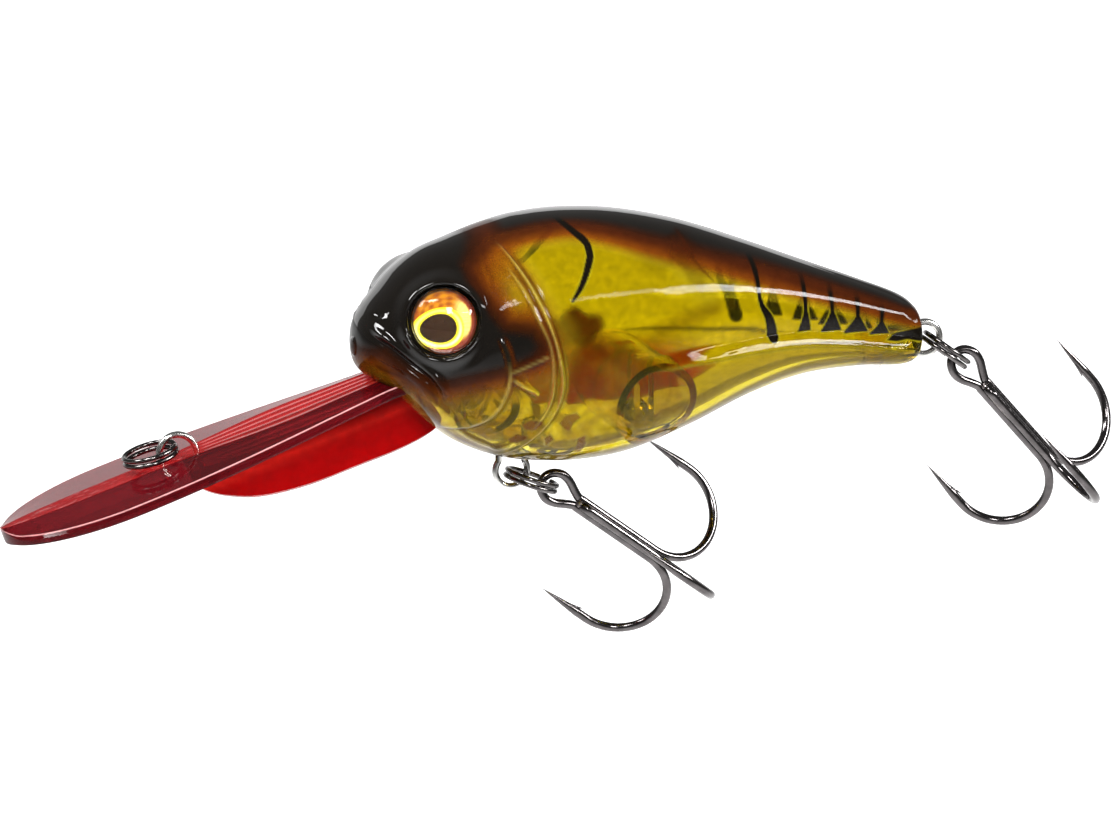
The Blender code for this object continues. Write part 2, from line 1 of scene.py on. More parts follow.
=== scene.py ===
"""Looks of a crankbait: clear painted body skins with moulded relief, a red lip, eyes, rings and hooks.

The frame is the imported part. Body shapes are worked out in lure coordinates, in millimetres from the
nose tip: x back along the body, y to the fish's right, z up.
"""

from math import cos, pi, radians, sin, tau

import bpy
import numpy as np
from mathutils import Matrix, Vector


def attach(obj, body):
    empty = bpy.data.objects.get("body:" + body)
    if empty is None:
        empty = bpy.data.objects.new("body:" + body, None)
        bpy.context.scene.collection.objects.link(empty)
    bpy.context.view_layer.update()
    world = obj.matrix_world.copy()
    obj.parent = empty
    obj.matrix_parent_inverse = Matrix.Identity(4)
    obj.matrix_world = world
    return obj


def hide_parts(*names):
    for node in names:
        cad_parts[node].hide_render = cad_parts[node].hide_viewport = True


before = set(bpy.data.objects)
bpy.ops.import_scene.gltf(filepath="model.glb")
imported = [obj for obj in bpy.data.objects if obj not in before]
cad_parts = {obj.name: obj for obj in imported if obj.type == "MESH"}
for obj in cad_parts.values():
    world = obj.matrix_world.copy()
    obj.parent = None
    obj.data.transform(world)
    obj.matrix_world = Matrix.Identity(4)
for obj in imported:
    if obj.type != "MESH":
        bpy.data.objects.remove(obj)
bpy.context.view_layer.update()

MM = 0.001
NOSE = np.array((21.35, 0.0, 11.7))  # the nose tip, from the line tie
SIDES = {"left": -1, "right": 1}

# Distance from the nose, top, bottom and half width of the body
BODY_STATIONS = (
    (0.40, -0.10, -2.30, 1.20),
    (0.75, 1.70, -3.50, 2.90),
    (1.50, 3.10, -4.40, 4.40),
    (3.00, 4.90, -5.40, 6.00),
    (5.50, 7.60, -7.20, 7.80),
    (8.70, 9.75, -10.20, 9.50),
    (12.2, 11.05, -12.95, 10.80),
    (16.7, 12.50, -14.95, 11.90),
    (21.0, 13.45, -15.85, 12.30),
    (26.5, 13.75, -16.20, 12.40),
    (33.0, 13.20, -15.50, 11.80),
    (40.4, 11.50, -13.00, 10.50),
    (48.0, 8.80, -9.75, 8.70),
    (55.0, 6.05, -7.75, 6.90),
    (62.0, 3.30, -7.25, 5.30),
    (67.2, 1.10, -7.45, 4.30),
    (69.3, -0.50, -6.85, 3.40),
    (69.9, -2.20, -5.20, 1.80),
)
SECTION_POWER = 2.15
JAW_SQUARENESS = 1.6
WALL = 1.3
FINE = 0.20  # spacing of the body's rows
AROUND = 180

EYE = np.array((8.9, 8.6, 3.0))
EYE_TOE_IN = radians(19)
EYE_LIFT = radians(12)
EYE_FLOOR = 1.1  # depth of the socket
DOME_RADIUS = 3.8
DOME_RISE = 1.45
DOME_EDGE = (-0.44, -0.12)  # bottom and top of the dome's upright edge
IRIS_RADIUS = 3.78
IRIS_LEVEL = -0.92
IRIS_CROWN = 0.18
PRINT_SCALE = 1.08  # size of the printed iris, over its drawing in eye()

# Moulded lines on the side of the head and body, as (x, z)
GILL_EDGE = ((16.2, 11.6), (18.7, 7.4), (20.5, 3.3), (21.8, -1.0), (22.3, -5.3), (21.0, -9.4))
GILL_EDGE += ((18.2, -12.8), (15.6, -14.3))
GILL_INNER = ((16.6, 9.0), (18.3, 6.0), (19.4, 3.3), (20.7, 0.2), (21.1, -3.0), (20.8, -6.8))
GILL_INNER += ((19.0, -10.5),)
GILL_LOW = ((10.8, -10.2), (13.4, -11.9), (15.8, -12.7), (17.8, -11.7))
CHEEK_EDGE = ((15.0, 1.6), (15.9, -0.8), (16.2, -3.0), (15.9, -5.2), (14.7, -8.0), (12.2, -9.9))
CHEEK_EDGE += ((9.0, -10.2),)
RIBS = (((16.0, -3.0), (18.2, -2.1), (20.7, -1.0)), ((16.2, -3.6), (17.9, -4.8), (19.6, -5.8)))
UPPER_LIP = ((0.9, 2.3), (1.5, 1.3), (3.2, 0.0), (4.9, -1.4), (6.4, -2.6), (7.6, -3.8), (8.7, -5.6))
UPPER_LIP += ((9.2, -7.2),)
CREASE = ((30.5, -4.0), (36.0, -3.6), (42.0, -3.2), (48.0, -2.9), (53.0, -2.9), (58.3, -3.5))
CREASE += ((63.6, -4.4), (68.6, -5.2))
LEDGE = 1.45  # width of the ledge above the crease
SADDLE = ((38.6, 11.6), (39.2, 9.8), (40.0, 8.0), (41.4, 6.3), (43.6, 4.3))
CHIN_LINE = ((5.6, -5.4), (7.2, -8.2), (9.6, -10.6), (12.4, -12.6), (15.5, -13.9))
JAW_LINE = ((1.4, -2.4), (3.4, -3.4), (5.8, -4.0), (7.6, -5.6), (8.4, -7.4))
NOSTRIL = (2.3, 3.1)

# Sprayed and painted marks, as (x, z)
BACK_BLACK = ((-2.0, 7.5), (7.8, 9.3), (13.5, 11.2), (19.9, 12.7), (24.7, 13.1), (29.4, 12.6))
BACK_BLACK += ((35.0, 11.1), (41.1, 9.2), (48.9, 6.9), (56.7, 4.2), (65.5, 0.9), (71.0, -1.4))
BACK_BROWN = ((-2.0, 5.0), (10.0, 8.4), (17.0, 10.8), (24.0, 11.9), (28.6, 11.2), (34.4, 9.5))
BACK_BROWN += ((40.6, 7.6), (45.6, 5.8), (53.3, 3.1), (59.8, 1.0), (66.3, -1.3), (71.0, -2.9))
HEAD_BLACK = ((-2.0, -1.2), (2.6, -0.6), (5.6, -3.2), (8.6, -4.0), (12.0, -3.1), (15.6, -2.2))
HEAD_BLACK += ((18.6, -1.0), (19.4, 0.2), (18.6, 1.6), (15.4, 2.2), (13.6, 4.4), (12.2, 7.0))
HEAD_BLACK += ((11.9, 9.0), (14.0, 11.5), (19.0, 18.0), (-2.0, 18.0))
SICKLE = ((24.0, 13.6), (25.6, 12.1), (26.5, 11.2), (26.7, 10.0), (26.1, 8.6), (25.1, 6.8), (23.7, 5.0))
SNAKE = ((47.3, 8.8), (47.7, 6.5), (47.8, 3.9), (48.1, 2.4), (49.1, 0.7), (49.8, -1.7))
# Bars on the tail: x at the top, x at the foot, half width of the foot
BARS = ((54.0, 54.1, 0.95), (57.6, 57.7, 1.45), (61.1, 61.0, 1.70), (64.3, 64.1, 1.40))
THROAT_PATCH = ((24.0, -2.0), (30.0, -1.0), (36.0, -1.0), (42.0, -2.6), (48.5, -4.6), (46.6, -7.3))
THROAT_PATCH += ((42.5, -9.4), (35.5, -11.5), (25.0, -11.8))
TAIL_MARK = ((64.6, -3.9), (66.2, -2.9), (68.3, -2.5), (70.4, -2.4), (70.4, -4.5), (68.0, -4.1))
TAIL_MARK += ((66.2, -4.2),)
GEMS = (
    ((17.8, -9.3), (18.7, -8.7), (20.0, -8.8), (20.4, -9.4), (19.5, -10.2), (18.3, -10.1)),
    ((16.7, -11.3), (17.5, -10.6), (18.7, -10.8), (18.9, -11.3), (17.9, -11.9), (17.0, -11.8)),
    ((22.3, -9.6), (23.0, -8.5), (24.3, -8.3), (25.0, -9.0), (24.2, -9.8), (23.8, -10.9),
     (23.0, -10.4)),
    ((25.0, -11.9), (25.9, -11.5), (26.4, -12.7), (26.1, -14.2), (25.2, -14.0)),
    ((20.9, -11.6), (21.6, -11.0), (22.3, -11.9), (21.5, -12.9)),
)

CLEAR_OLIVE = (0.575, 0.485, 0.012)
# Olive for the painted shade towards the bottom of the body
SHADE_OLIVE = (0.31, 0.235, 0.005)
CLEAR_COVER = 0.015  # how opaque the unpainted plastic is
MARK_COVER = 0.94  # how opaque the thin marks are; paint that covers more than this is glossy
BLACK = (0.004, 0.003, 0.002)
BROWN = (0.045, 0.009, 0.002)
GEM_BROWN = (0.10, 0.020, 0.003)
BLOTCH_BROWN = (0.20, 0.018, 0.001)
RUSSET = (0.17, 0.038, 0.003)
AMBER = (0.28, 0.15, 0.006)
THROAT_RED = (0.50, 0.030, 0.002)
# Pale olive: the light mottling, and the painted highlights along the moulded lines
PALE_OLIVE = (0.92, 0.84, 0.22)


# Meshes


def curve(points, steps=8, spacing=None):
    """A smooth line through points, as an array; spacing is the longest step along the first axis."""
    points = [np.array(p, float) for p in points]
    out = []
    for i in range(len(points) - 1):
        a, d = points[max(i - 1, 0)], points[min(i + 2, len(points) - 1)]
        b, c = points[i], points[i + 1]
        if spacing:
            steps = max(5, int(np.ceil((c[0] - b[0]) / spacing)))
        for k in range(steps):
            t = k / steps
            square = (2 * a - 5 * b + 4 * c - d) * t * t
            cube = (3 * b - a - 3 * c + d) * t**3
            out.append(0.5 * (2 * b + (c - a) * t + square + cube))
    out.append(points[-1])
    return np.array(out)


def signed_volume(points, faces):
    """Volume inside the faces, negative where they face inwards."""
    points = np.asarray(points, float)
    total = 0.0
    for size in set(len(f) for f in faces):
        corners = points[np.array([f for f in faces if len(f) == size])]
        for k in range(1, size - 1):
            spanned = np.cross(corners[:, k], corners[:, k + 1])
            total += np.einsum("ij,ij->i", corners[:, 0], spanned).sum()
    return total / 6


def turned_out(points, faces):
    """The same faces, facing outwards."""
    if signed_volume(points, faces) < 0:
        return [list(f)[::-1] for f in faces]
    return faces


def gather(shapes):
    """Points and outward faces of several closed shapes as one list of each."""
    points, faces, start = [], [], 0
    for more_points, more_faces in shapes:
        points.append(more_points)
        faces += [[k + start for k in f] for f in turned_out(more_points, more_faces)]
        start += len(more_points)
    return np.concatenate(points), faces


def mesh_object(name, points, faces, material, body):
    """A piece from points in metres, riding on a body, with its faces turned outwards."""
    faces = turned_out(points, faces)
    mesh = bpy.data.meshes.new(name)
    mesh.from_pydata([tuple(p) for p in points], [], faces)
    mesh.update()
    mesh.shade_smooth()
    mesh.materials.append(material)
    made = bpy.data.objects.new(name, mesh)
    bpy.context.scene.collection.objects.link(made)
    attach(made, body)
    return made


def grid_faces(rows, columns, wrap=False, start=0):
    """Quads over a grid of points; wrap joins the last column to the first."""
    i, j = np.meshgrid(np.arange(rows - 1), np.arange(columns if wrap else columns - 1), indexing="ij")
    k = (j + 1) % columns
    here, above = i * columns, (i + 1) * columns
    quads = np.stack((here + j, here + k, above + k, above + j), -1)
    return (quads.reshape(-1, 4) + start).tolist()


def to_frame(points):
    """Lure millimetres to metres from the line tie."""
    return (np.asarray(points, float) + NOSE) * MM


def tube_points(path, radius, sides, squash=1.0):
    """Rings of points round a path; radius may change along it, squash flattens each ring one way."""
    path = np.asarray(path, float)
    radius = np.broadcast_to(np.asarray(radius, float), (len(path),))
    along = np.gradient(path, axis=0)
    along /= np.linalg.norm(along, axis=1)[:, None]
    first = np.array((0.0, 1.0, 0.0))
    if abs(along[0] @ first) > 0.9:
        first = np.array((0.0, 0.0, 1.0))
    turns = tau * np.arange(sides) / sides
    rings = []
    for point, direction, size in zip(path, along, radius):
        first = first - direction * (first @ direction)
        first /= np.linalg.norm(first)
        second = np.cross(direction, first)
        round_it = np.outer(np.cos(turns), first) + squash * np.outer(np.sin(turns), second)
        rings.append(point + size * round_it)
    return np.array(rings)


def tube_faces(rings, sides, wrap=True):
    """Faces of a bar with closed ends; without wrap it is left open along one side."""
    faces = grid_faces(rings, sides, wrap)
    faces.append(list(range(sides))[::-1])
    faces.append([(rings - 1) * sides + k for k in range(sides)])
    return faces


def tube(name, path, radius, sides, material, body, squash=1.0):
    """A round bar along a path in metres."""
    rings = tube_points(path, radius, sides, squash)
    return mesh_object(name, rings.reshape(-1, 3), tube_faces(len(rings), sides), material, body)


def set_paint(piece, colours):
    """A colour and its opacity for each point of a mesh."""
    layer = piece.data.color_attributes.new("paint", "FLOAT_COLOR", "POINT")
    layer.data.foreach_set("color", np.asarray(colours, np.float32).ravel())


# Fields over the body's side


def ramp(value, low, high):
    """0 below low, 1 above high, smooth between; low may be the larger."""
    t = np.clip((value - low) / (high - low), 0, 1)
    return t * t * (3 - 2 * t)


def line_field(x, z, line):
    """Distance to a line, share of the way along it, and signed distance, positive on its left."""
    best = np.full(x.shape, 1e9)
    share = np.zeros(x.shape)
    side = np.ones(x.shape)
    count = len(line) - 1
    for k in range(count):
        ax, az = line[k]
        dx, dz = line[k + 1] - line[k]
        t = np.clip(((x - ax) * dx + (z - az) * dz) / (dx * dx + dz * dz), 0, 1)
        away = np.hypot(x - ax - t * dx, z - az - t * dz)
        nearer = away < best
        best = np.where(nearer, away, best)
        share = np.where(nearer, (k + t) / count, share)
        turn = dx * (z - az) - dz * (x - ax)
        side = np.where(nearer, np.sign(turn + 1e-12), side)
    return best, share, best * side


def inside_field(x, z, outline):
    """Signed distance to a closed outline, positive inside."""
    corners = np.array(outline + (outline[0],), float)
    away, _, _ = line_field(x, z, corners)
    odd = np.zeros(x.shape, bool)
    for (ax, az), (bx, bz) in zip(corners, corners[1:]):
        if az == bz:
            continue
        crosses = ((az > z) != (bz > z)) & (x < (bx - ax) * (z - az) / (bz - az) + ax)
        odd ^= crosses
    return np.where(odd, away, -away)


def height_of(line, x):
    """The z of a line at each x."""
    line = curve(line, 6)
    return np.interp(x, line[:, 0], line[:, 1])


def ends(share, length=0.1):
    """Fades out over both ends of a line."""
    return ramp(share, 0, length) * ramp(share, 1, 1 - length)


def bump(value, width):
    """1 at zero, falling off smoothly over the width on both sides."""
    return np.exp(-((value / width) ** 2))


def relief(x, z):
    """Height of the moulded detail over the plain body, in millimetres."""
    high = np.zeros(x.shape)
    for line, rise, reach in ((GILL_EDGE, 0.50, 4.0), (GILL_INNER, 0.20, 1.4)):
        _, share, signed = line_field(x, z, curve(line))
        plate = ramp(signed, 0.35, -0.1) * np.exp(np.minimum(signed, 0) / reach)
        high += rise * plate * ends(share, 0.07)
        high -= 0.12 * bump(signed - 0.45, 0.3) * ends(share, 0.07)
    _, share, signed = line_field(x, z, curve(CHEEK_EDGE))
    cheek = ramp(signed, 0.3, -0.2) * np.exp(np.minimum(signed, 0) / 2.0)
    high += 0.34 * cheek * ends(share, 0.12)
    away, share, _ = line_field(x, z, curve(GILL_LOW))
    high += 0.16 * bump(away, 0.35) * ends(share, 0.2)
    for line in RIBS:
        away, share, _ = line_field(x, z, curve(line))
        high += 0.24 * bump(away, 0.30) * ends(share, 0.2)
    _, share, signed = line_field(x, z, curve(UPPER_LIP))
    fade = ramp(share, 0.0, 0.08) * ramp(share, 1.0, 0.75)
    high += 0.50 * bump(signed - 0.35, 0.42) * fade
    high -= 0.46 * bump(signed + 0.40, 0.32) * fade
    high += 0.30 * bump(signed + 1.35, 0.50) * fade * ramp(x, 2.5, 5.0)
    away = np.hypot(x - NOSTRIL[0], z - NOSTRIL[1])
    high += 0.12 * bump(away - 0.42, 0.14) - 0.35 * bump(away, 0.26)
    _, share, signed = line_field(x, z, curve(CREASE))
    grow = ramp(share, 0.0, 0.3) * ramp(x, 69.6, 67.5)
    above = np.exp(-np.maximum(signed - LEDGE, 0) / 3.0) * np.clip(signed / LEDGE, 0, 1)
    below = np.exp(-np.maximum(-signed - 0.1, 0) / 2.4) * ramp(signed, 0.15, -0.25)
    rise = 0.85 + 0.30 * ramp(x, 45, 62)
    high += grow * (0.10 * below - rise * above)
    return high * ramp(x, 0.8, 3.0)


# Paint


def layered(colour, cover, tone, amount, opaque):
    """A colour and its opacity with some paint over them."""
    amount = np.clip(amount, 0, 1)
    colour = colour + (np.array(tone) - colour) * amount[..., None]
    return colour, cover + (opaque - cover) * amount


def inner_paint(x, z, side):
    """The inside of a half: clear, with a red throat patch and dark marks inside the right one."""
    colour = np.broadcast_to(np.array(CLEAR_OLIVE), x.shape + (3,)).copy()
    cover = np.full(x.shape, 0.005)
    if side > 0:
        patch = inside_field(x, z, THROAT_PATCH)
        fade = ramp(z, -3.2, -6.4) * ramp(x, 49.0, 43.0)
        blotch = np.hypot((x - 31.0) / 3.3, (z + 3.2 - 0.4 * np.sin(1.7 * x)) / 2.4)
        streak = line_field(x, z, np.array(((40.5, -3.6), (46.9, -0.9))))[0]
        bar = line_field(x, z, np.array(((48.8, 5.0), (48.9, -0.5))))[0]
        marks = (
            (THROAT_RED, ramp(patch, -0.2, 0.2) * fade, 0.90),
            (BLOTCH_BROWN, ramp(blotch, 1.15, 0.75), 0.92),
            (RUSSET, 0.6 * bump(streak, 0.9), 0.5),
            (BROWN, 0.8 * ramp(bar, 0.6, 0.2), 0.8),
        )
        for tone, amount, opaque in marks:
            colour, cover = layered(colour, cover, tone, amount, opaque)
    return np.concatenate((colour, cover[..., None]), -1)


def paint(x, z):
    """Colour of the plastic with its paint, and how much of it is opaque."""
    colour = np.broadcast_to(np.array(CLEAR_OLIVE), x.shape + (3,)).copy()
    cover = np.full(x.shape, CLEAR_COVER)

    def add(tone, amount, opaque):
        """A layer of paint."""
        nonlocal colour, cover
        colour, cover = layered(colour, cover, tone, amount, opaque)

    def stroke(line, tone, amount, opaque, width, shift=0.0, fade=0.12):
        """A soft line of paint; a nearly clear one doesn't show on opaque paint."""
        _, share, signed = line_field(x, z, curve(line))
        amount = amount * bump(signed - shift, width) * ends(share, fade)
        add(tone, amount * (1 - cover) if opaque < 0.3 else amount, opaque)

    def mark(amount):
        """Thin black paint, which leaves opaque paint under it as it is."""
        add(BLACK, amount, np.maximum(cover, MARK_COVER))

    top = height_of([(row[0], row[1]) for row in BODY_STATIONS], x)
    brown_line = height_of(BACK_BROWN, x)
    black_line = height_of(BACK_BLACK, x)
    brown_soft = 0.25 + 0.24 * np.abs(top - brown_line)
    black_soft = 0.20 + 0.40 * np.abs(top - black_line)

    bottom = height_of([(row[0], row[2]) for row in BODY_STATIONS], x)
    # Painted shade: the plastic is darker towards the bottom of the body
    add(SHADE_OLIVE, ramp(z, bottom + 3.0, bottom + 1.0), 0.06)
    clouds = np.sin(1.9 * x + 1.3 * np.sin(1.1 * z)) * np.sin(1.7 * z + 1.2 * np.sin(0.8 * x + 2.0))
    low = ramp(z, -4.5, -8.5) * ramp(x, 44, 24)
    add(AMBER, 0.65 * low * ramp(clouds, 0.0, 0.7), 0.2)
    add(PALE_OLIVE, 0.35 * low * ramp(clouds, -0.1, -0.8), 0.1)

    head = inside_field(x, z, HEAD_BLACK)
    gill = inside_field(x, z, GILL_EDGE + ((2.0, -18.0), (-4.0, 4.0), (6.0, 16.0)))
    add(AMBER, 0.45 * ramp(gill, -1.5, 2.0), 0.2)
    add(AMBER, 0.9 * ramp(head, -6.0, -1.8), 0.3)
    add(AMBER, 0.7 * ramp(z, brown_line - 1.5, brown_line - 0.3), 0.25)
    add(RUSSET, 0.95 * ramp(head, -4.4, -1.2), 0.5)
    add(RUSSET, ramp(z, brown_line - 1.4 * brown_soft, brown_line + 0.2), 0.55)
    # Painted highlight: a lighter patch behind the eye is left free of the russet
    glow = 1 - 0.8 * bump(np.hypot((x - 17.2) / 1.3, (z - 5.4) / 1.9), 1.0)
    add(RUSSET, 0.85 * ramp(gill, -0.6, 1.8) * ramp(z, 0.5, 4.0) * glow, 0.5)
    gill_dark = ramp(line_field(x, z, curve(GILL_EDGE))[0], 2.6, 0.2) * ramp(z, 2.0, 8.0)
    add(RUSSET, 0.8 * gill_dark, 0.6)
    add(BROWN, ramp(z, brown_line - 0.4 * brown_soft, brown_line + 1.2 * brown_soft), 0.85)
    add(BLACK, ramp(z, black_line - 1.3 * black_soft, black_line + black_soft), 1.0)
    add(BROWN, ramp(head, -2.8, -0.6), 0.8)
    add(BLACK, ramp(head, -1.7, 0.9), 1.0)
    add(BROWN, 0.8 * ramp(z, bottom + 0.55, bottom + 0.15) * ramp(x, 8.0, 14.0), 0.6)

    for outline in GEMS:
        add(GEM_BROWN, 0.9 * ramp(inside_field(x, z, outline), -0.18, 0.18), 0.65)

    # Along the moulded lines: dark brown lines are painted shade in their grooves and at their feet,
    # pale lines are painted highlights
    for line, dark, pale, strength in (
        (GILL_EDGE, 0.45, -0.05, 0.65),
        (GILL_INNER, 0.42, -0.05, 0.40),
        (CHEEK_EDGE, 0.35, -0.15, 0.60),
        (CHIN_LINE, 0.25, -0.25, 0.50),
        (JAW_LINE, 0.0, 0.5, 0.0),
        (GILL_LOW, 0.30, -0.10, 0.60),
    ):
        stroke(line, BROWN, 0.85, 0.8, 0.24, dark)
        stroke(line, BROWN, 0.45, 0.5, 0.14, 2 * pale - 0.25)
        stroke(line, PALE_OLIVE, strength, 0.25, 0.15, pale)
    # Each rib: a painted highlight along its crest and painted shade along both sides
    for line in RIBS:
        stroke(line, PALE_OLIVE, 0.65, 0.25, 0.17, 0.0, 0.2)
        stroke(line, BROWN, 0.75, 0.7, 0.16, -0.42, 0.2)
        stroke(line, BROWN, 0.5, 0.6, 0.13, 0.38, 0.2)
    stroke(SADDLE, BROWN, 0.7, 0.55, 1.5, -1.3, 0.3)
    stroke(SADDLE, BROWN, 0.75, 0.6, 0.25, 0.0, 0.3)
    # Painted shade: a thin dark line just under the ledge along the crease
    _, share, signed = line_field(x, z, curve(CREASE))
    add(BROWN, 0.7 * bump(signed + 0.25, 0.20) * ramp(x, 33.0, 40.0) * ends(share, 0.05), 0.7)

    away, share, _ = line_field(x, z, curve(SICKLE))
    width = 0.18 + 0.32 * np.sin(pi * np.clip(share, 0, 1)) ** 0.6
    mark(ramp(away, width + 0.12, width - 0.08))
    away, share, _ = line_field(x, z, curve(SNAKE))
    width = 0.32 + 0.42 * ramp(share, 0.5, 1.0)
    mark(ramp(away, width + 0.14, width - 0.08) * ramp(share, 0.0, 0.1))
    for x_top, x_foot, half_foot in BARS:
        z_foot = height_of(CREASE, np.array([x_foot]))[0] + LEDGE
        z_top = height_of(BACK_BROWN, np.array([x_top]))[0]
        rise = (z - z_foot) / (z_top - z_foot)
        middle = x_foot + (x_top - x_foot) * rise
        half = np.maximum(0.32, half_foot * np.clip(1.0 - rise * 1.1, 0, 1))
        across = ramp(np.abs(x - middle), half + 0.16, half - 0.10)
        mark(across * ramp(rise, -0.08, 0.02) * ramp(rise, 1.7, 1.2))
    mark(ramp(inside_field(x, z, TAIL_MARK), -0.15, 0.2))
    return np.concatenate((colour, cover[..., None]), -1)


# Body skins


def body_rows():
    """Stations along the body, close enough for the painted marks, rounded off at both ends."""
    rows = list(curve(BODY_STATIONS, spacing=FINE))
    caps = []
    for row, out in ((rows[0], -0.25), (rows[-1], 0.12)):
        middle = (row[1] + row[2]) / 2
        cap = []
        for k in range(1, 6):
            t = pi / 2 * k / 5
            size = max(cos(t), 0.02)
            top = middle + (row[1] - middle) * size
            bottom = middle + (row[2] - middle) * size
            cap.append(np.array((row[0] + out * sin(t), top, bottom, row[3] * size)))
        caps.append(cap)
    return np.array(caps[0][::-1] + rows + caps[1])


ROWS = body_rows()


def skin_grid(side, inset, skip=1):
    """Points of one side of the body, shrunk by inset; skip leaves out rows and columns."""
    x, top, bottom, half = (ROWS[::skip, k][:, None] for k in range(4))
    length = BODY_STATIONS[-1][0]
    x = inset + x * (length - 2 * inset) / length
    shrink = np.minimum(np.minimum(inset, (top - bottom) * 0.35), half * 0.6)
    top, bottom, half = top - shrink, bottom + shrink, half - shrink
    middle = (top + bottom) / 2
    turn = (pi * np.arange(0, AROUND + 1, skip) / AROUND)[None, :]
    jaw = ramp(x, 1.2, 3.4) * ramp(x, 12.0, 6.0) * ramp(np.cos(turn), 0.1, -0.3)
    power = SECTION_POWER + JAW_SQUARENESS * jaw
    y = half * np.abs(np.sin(turn)) ** (2 / power)
    lean = np.sign(np.cos(turn)) * np.abs(np.cos(turn)) ** (2 / power)
    z = middle + (top - bottom) / 2 * lean
    return np.stack((np.broadcast_to(x, y.shape), side * y, z), -1)


def outward(grid, side):
    """Unit normals of a grid of points, away from the body."""
    normal = np.cross(np.gradient(grid, axis=0), np.gradient(grid, axis=1))
    normal /= np.maximum(np.linalg.norm(normal, axis=-1), 1e-9)[..., None]
    flip = np.sign((normal[..., 1] * side).sum())
    return normal * flip


def eye_frame(side):
    """Centre of an eye, the way it looks, and its own back and up directions."""
    level = cos(EYE_LIFT)
    axis = np.array((-sin(EYE_TOE_IN) * level, side * cos(EYE_TOE_IN) * level, sin(EYE_LIFT)))
    back = np.array((1.0, 0, 0)) - axis * axis[0]
    back /= np.linalg.norm(back)
    up = np.cross(axis, back) * -side
    return EYE * (1, side, 1), axis, back, up


def eye_socket(grid, side):
    """Presses a bowl with a rolled rim into the skin round an eye."""
    centre, axis, _, _ = eye_frame(side)
    offset = grid - centre
    height = offset @ axis
    radius = np.linalg.norm(offset - height[..., None] * axis, axis=-1)
    bowl = -EYE_FLOOR + (EYE_FLOOR + 0.45) * ramp(radius, 4.0, 4.45)
    bowl -= 0.75 * ramp(radius, 4.5, 6.2)
    hold = ramp(radius, 6.4, 4.6) * (height > -6)
    return grid + (axis * (np.minimum(bowl - height, 1.5) * hold)[..., None])


def skin(name, side, material):
    """One half of the body: outer skin with its relief, and the smooth inner skin."""
    outer = skin_grid(side, 0.0)
    flat_x, flat_z = outer[..., 0], outer[..., 2]
    lift = relief(flat_x, flat_z) * np.minimum(np.abs(outer[..., 1]) / 1.5, 1)
    outer = outer + outward(outer, side) * lift[..., None]
    outer = eye_socket(outer, side)
    inner = skin_grid(side, WALL, 2)
    colours = paint(flat_x, flat_z)
    centre, axis, _, _ = eye_frame(side)
    offset = outer - centre
    radius = np.linalg.norm(offset - (offset @ axis)[..., None] * axis, axis=-1)
    socket = ramp(radius, 5.6, 4.7)[..., None]
    colours = colours + (np.array(BLACK + (1.0,)) - colours) * socket
    inside = inner_paint(inner[..., 0], inner[..., 2], side)
    faces = grid_faces(*outer.shape[:2])
    faces += [f[::-1] for f in grid_faces(*inner.shape[:2], start=outer[..., 0].size)]
    points = np.concatenate((outer.reshape(-1, 3), inner.reshape(-1, 3)))
    made = mesh_object(name, to_frame(points), faces, material, "root")
    set_paint(made, np.concatenate((colours.reshape(-1, 4), inside.reshape(-1, 4))))
    return made


# Materials

PLASTIC_ROUGH = 0.035


def new_material(name, colour, roughness, metallic=0.0, transmission=0.0, ior=1.5):
    """A material with the numbers that are the same all over it."""
    made = bpy.data.materials.new(name)
    made.use_nodes = True
    shader = made.node_tree.nodes["Principled BSDF"]
    shader.inputs["Base Color"].default_value = (*colour, 1)
    shader.inputs["Roughness"].default_value = roughness
    shader.inputs["Metallic"].default_value = metallic
    shader.inputs["Transmission Weight"].default_value = transmission
    shader.inputs["Coat Roughness"].default_value = 0.03
    shader.inputs["IOR"].default_value = ior
    made.diffuse_color = (*colour, 1)
    return made


def add_node(owner, kind, inputs=None, **settings):
    """A node of a material or of the room; inputs are values or the outputs of other nodes."""
    made = owner.node_tree.nodes.new(kind)
    for key, value in settings.items():
        setattr(made, key, value)
    for key, value in (inputs or {}).items():
        if isinstance(value, bpy.types.NodeSocket):
            owner.node_tree.links.new(value, made.inputs[key])
        else:
            made.inputs[key].default_value = value
    return made


def shader_of(material):
    return material.node_tree.nodes["Principled BSDF"]


def feed(material, output, socket):
    material.node_tree.links.new(output, shader_of(material).inputs[socket])


def mesh_paint(material):
    """The colour and opacity stored in the mesh."""
    wanted = {"attribute_name": "paint", "attribute_type": "GEOMETRY"}
    return add_node(material, "ShaderNodeAttribute", **wanted)


def object_noise(material, scale, detail=3.0):
    """Noise in the piece's own coordinates; scale is in waves per metre."""
    place = add_node(material, "ShaderNodeTexCoord").outputs["Object"]
    wanted = {"Vector": place, "Scale": scale, "Detail": detail}
    return add_node(material, "ShaderNodeTexNoise", wanted).outputs["Fac"]


def maths(owner, operation, a, b=0.0, clamp=False):
    made = add_node(owner, "ShaderNodeMath", {0: a, 1: b}, operation=operation)
    made.use_clamp = clamp
    return made.outputs[0]


def spread(material, value, low, high):
    """A noise value turned into a range."""
    limits = {"Value": value, "From Min": 0.3, "From Max": 0.7, "To Min": low, "To Max": high}
    return add_node(material, "ShaderNodeMapRange", limits).outputs["Result"]


def clouded(material, colour, scale, detail, low, high):
    """Feeds the base colour: a colour made a little lighter and darker by noise."""
    cloud = spread(material, object_noise(material, scale, detail), low, high)
    mixed = {0: 1.0, 6: colour, 7: cloud}
    tone = add_node(material, "ShaderNodeMix", mixed, data_type="RGBA", blend_type="MULTIPLY")
    feed(material, tone.outputs[2], "Base Color")


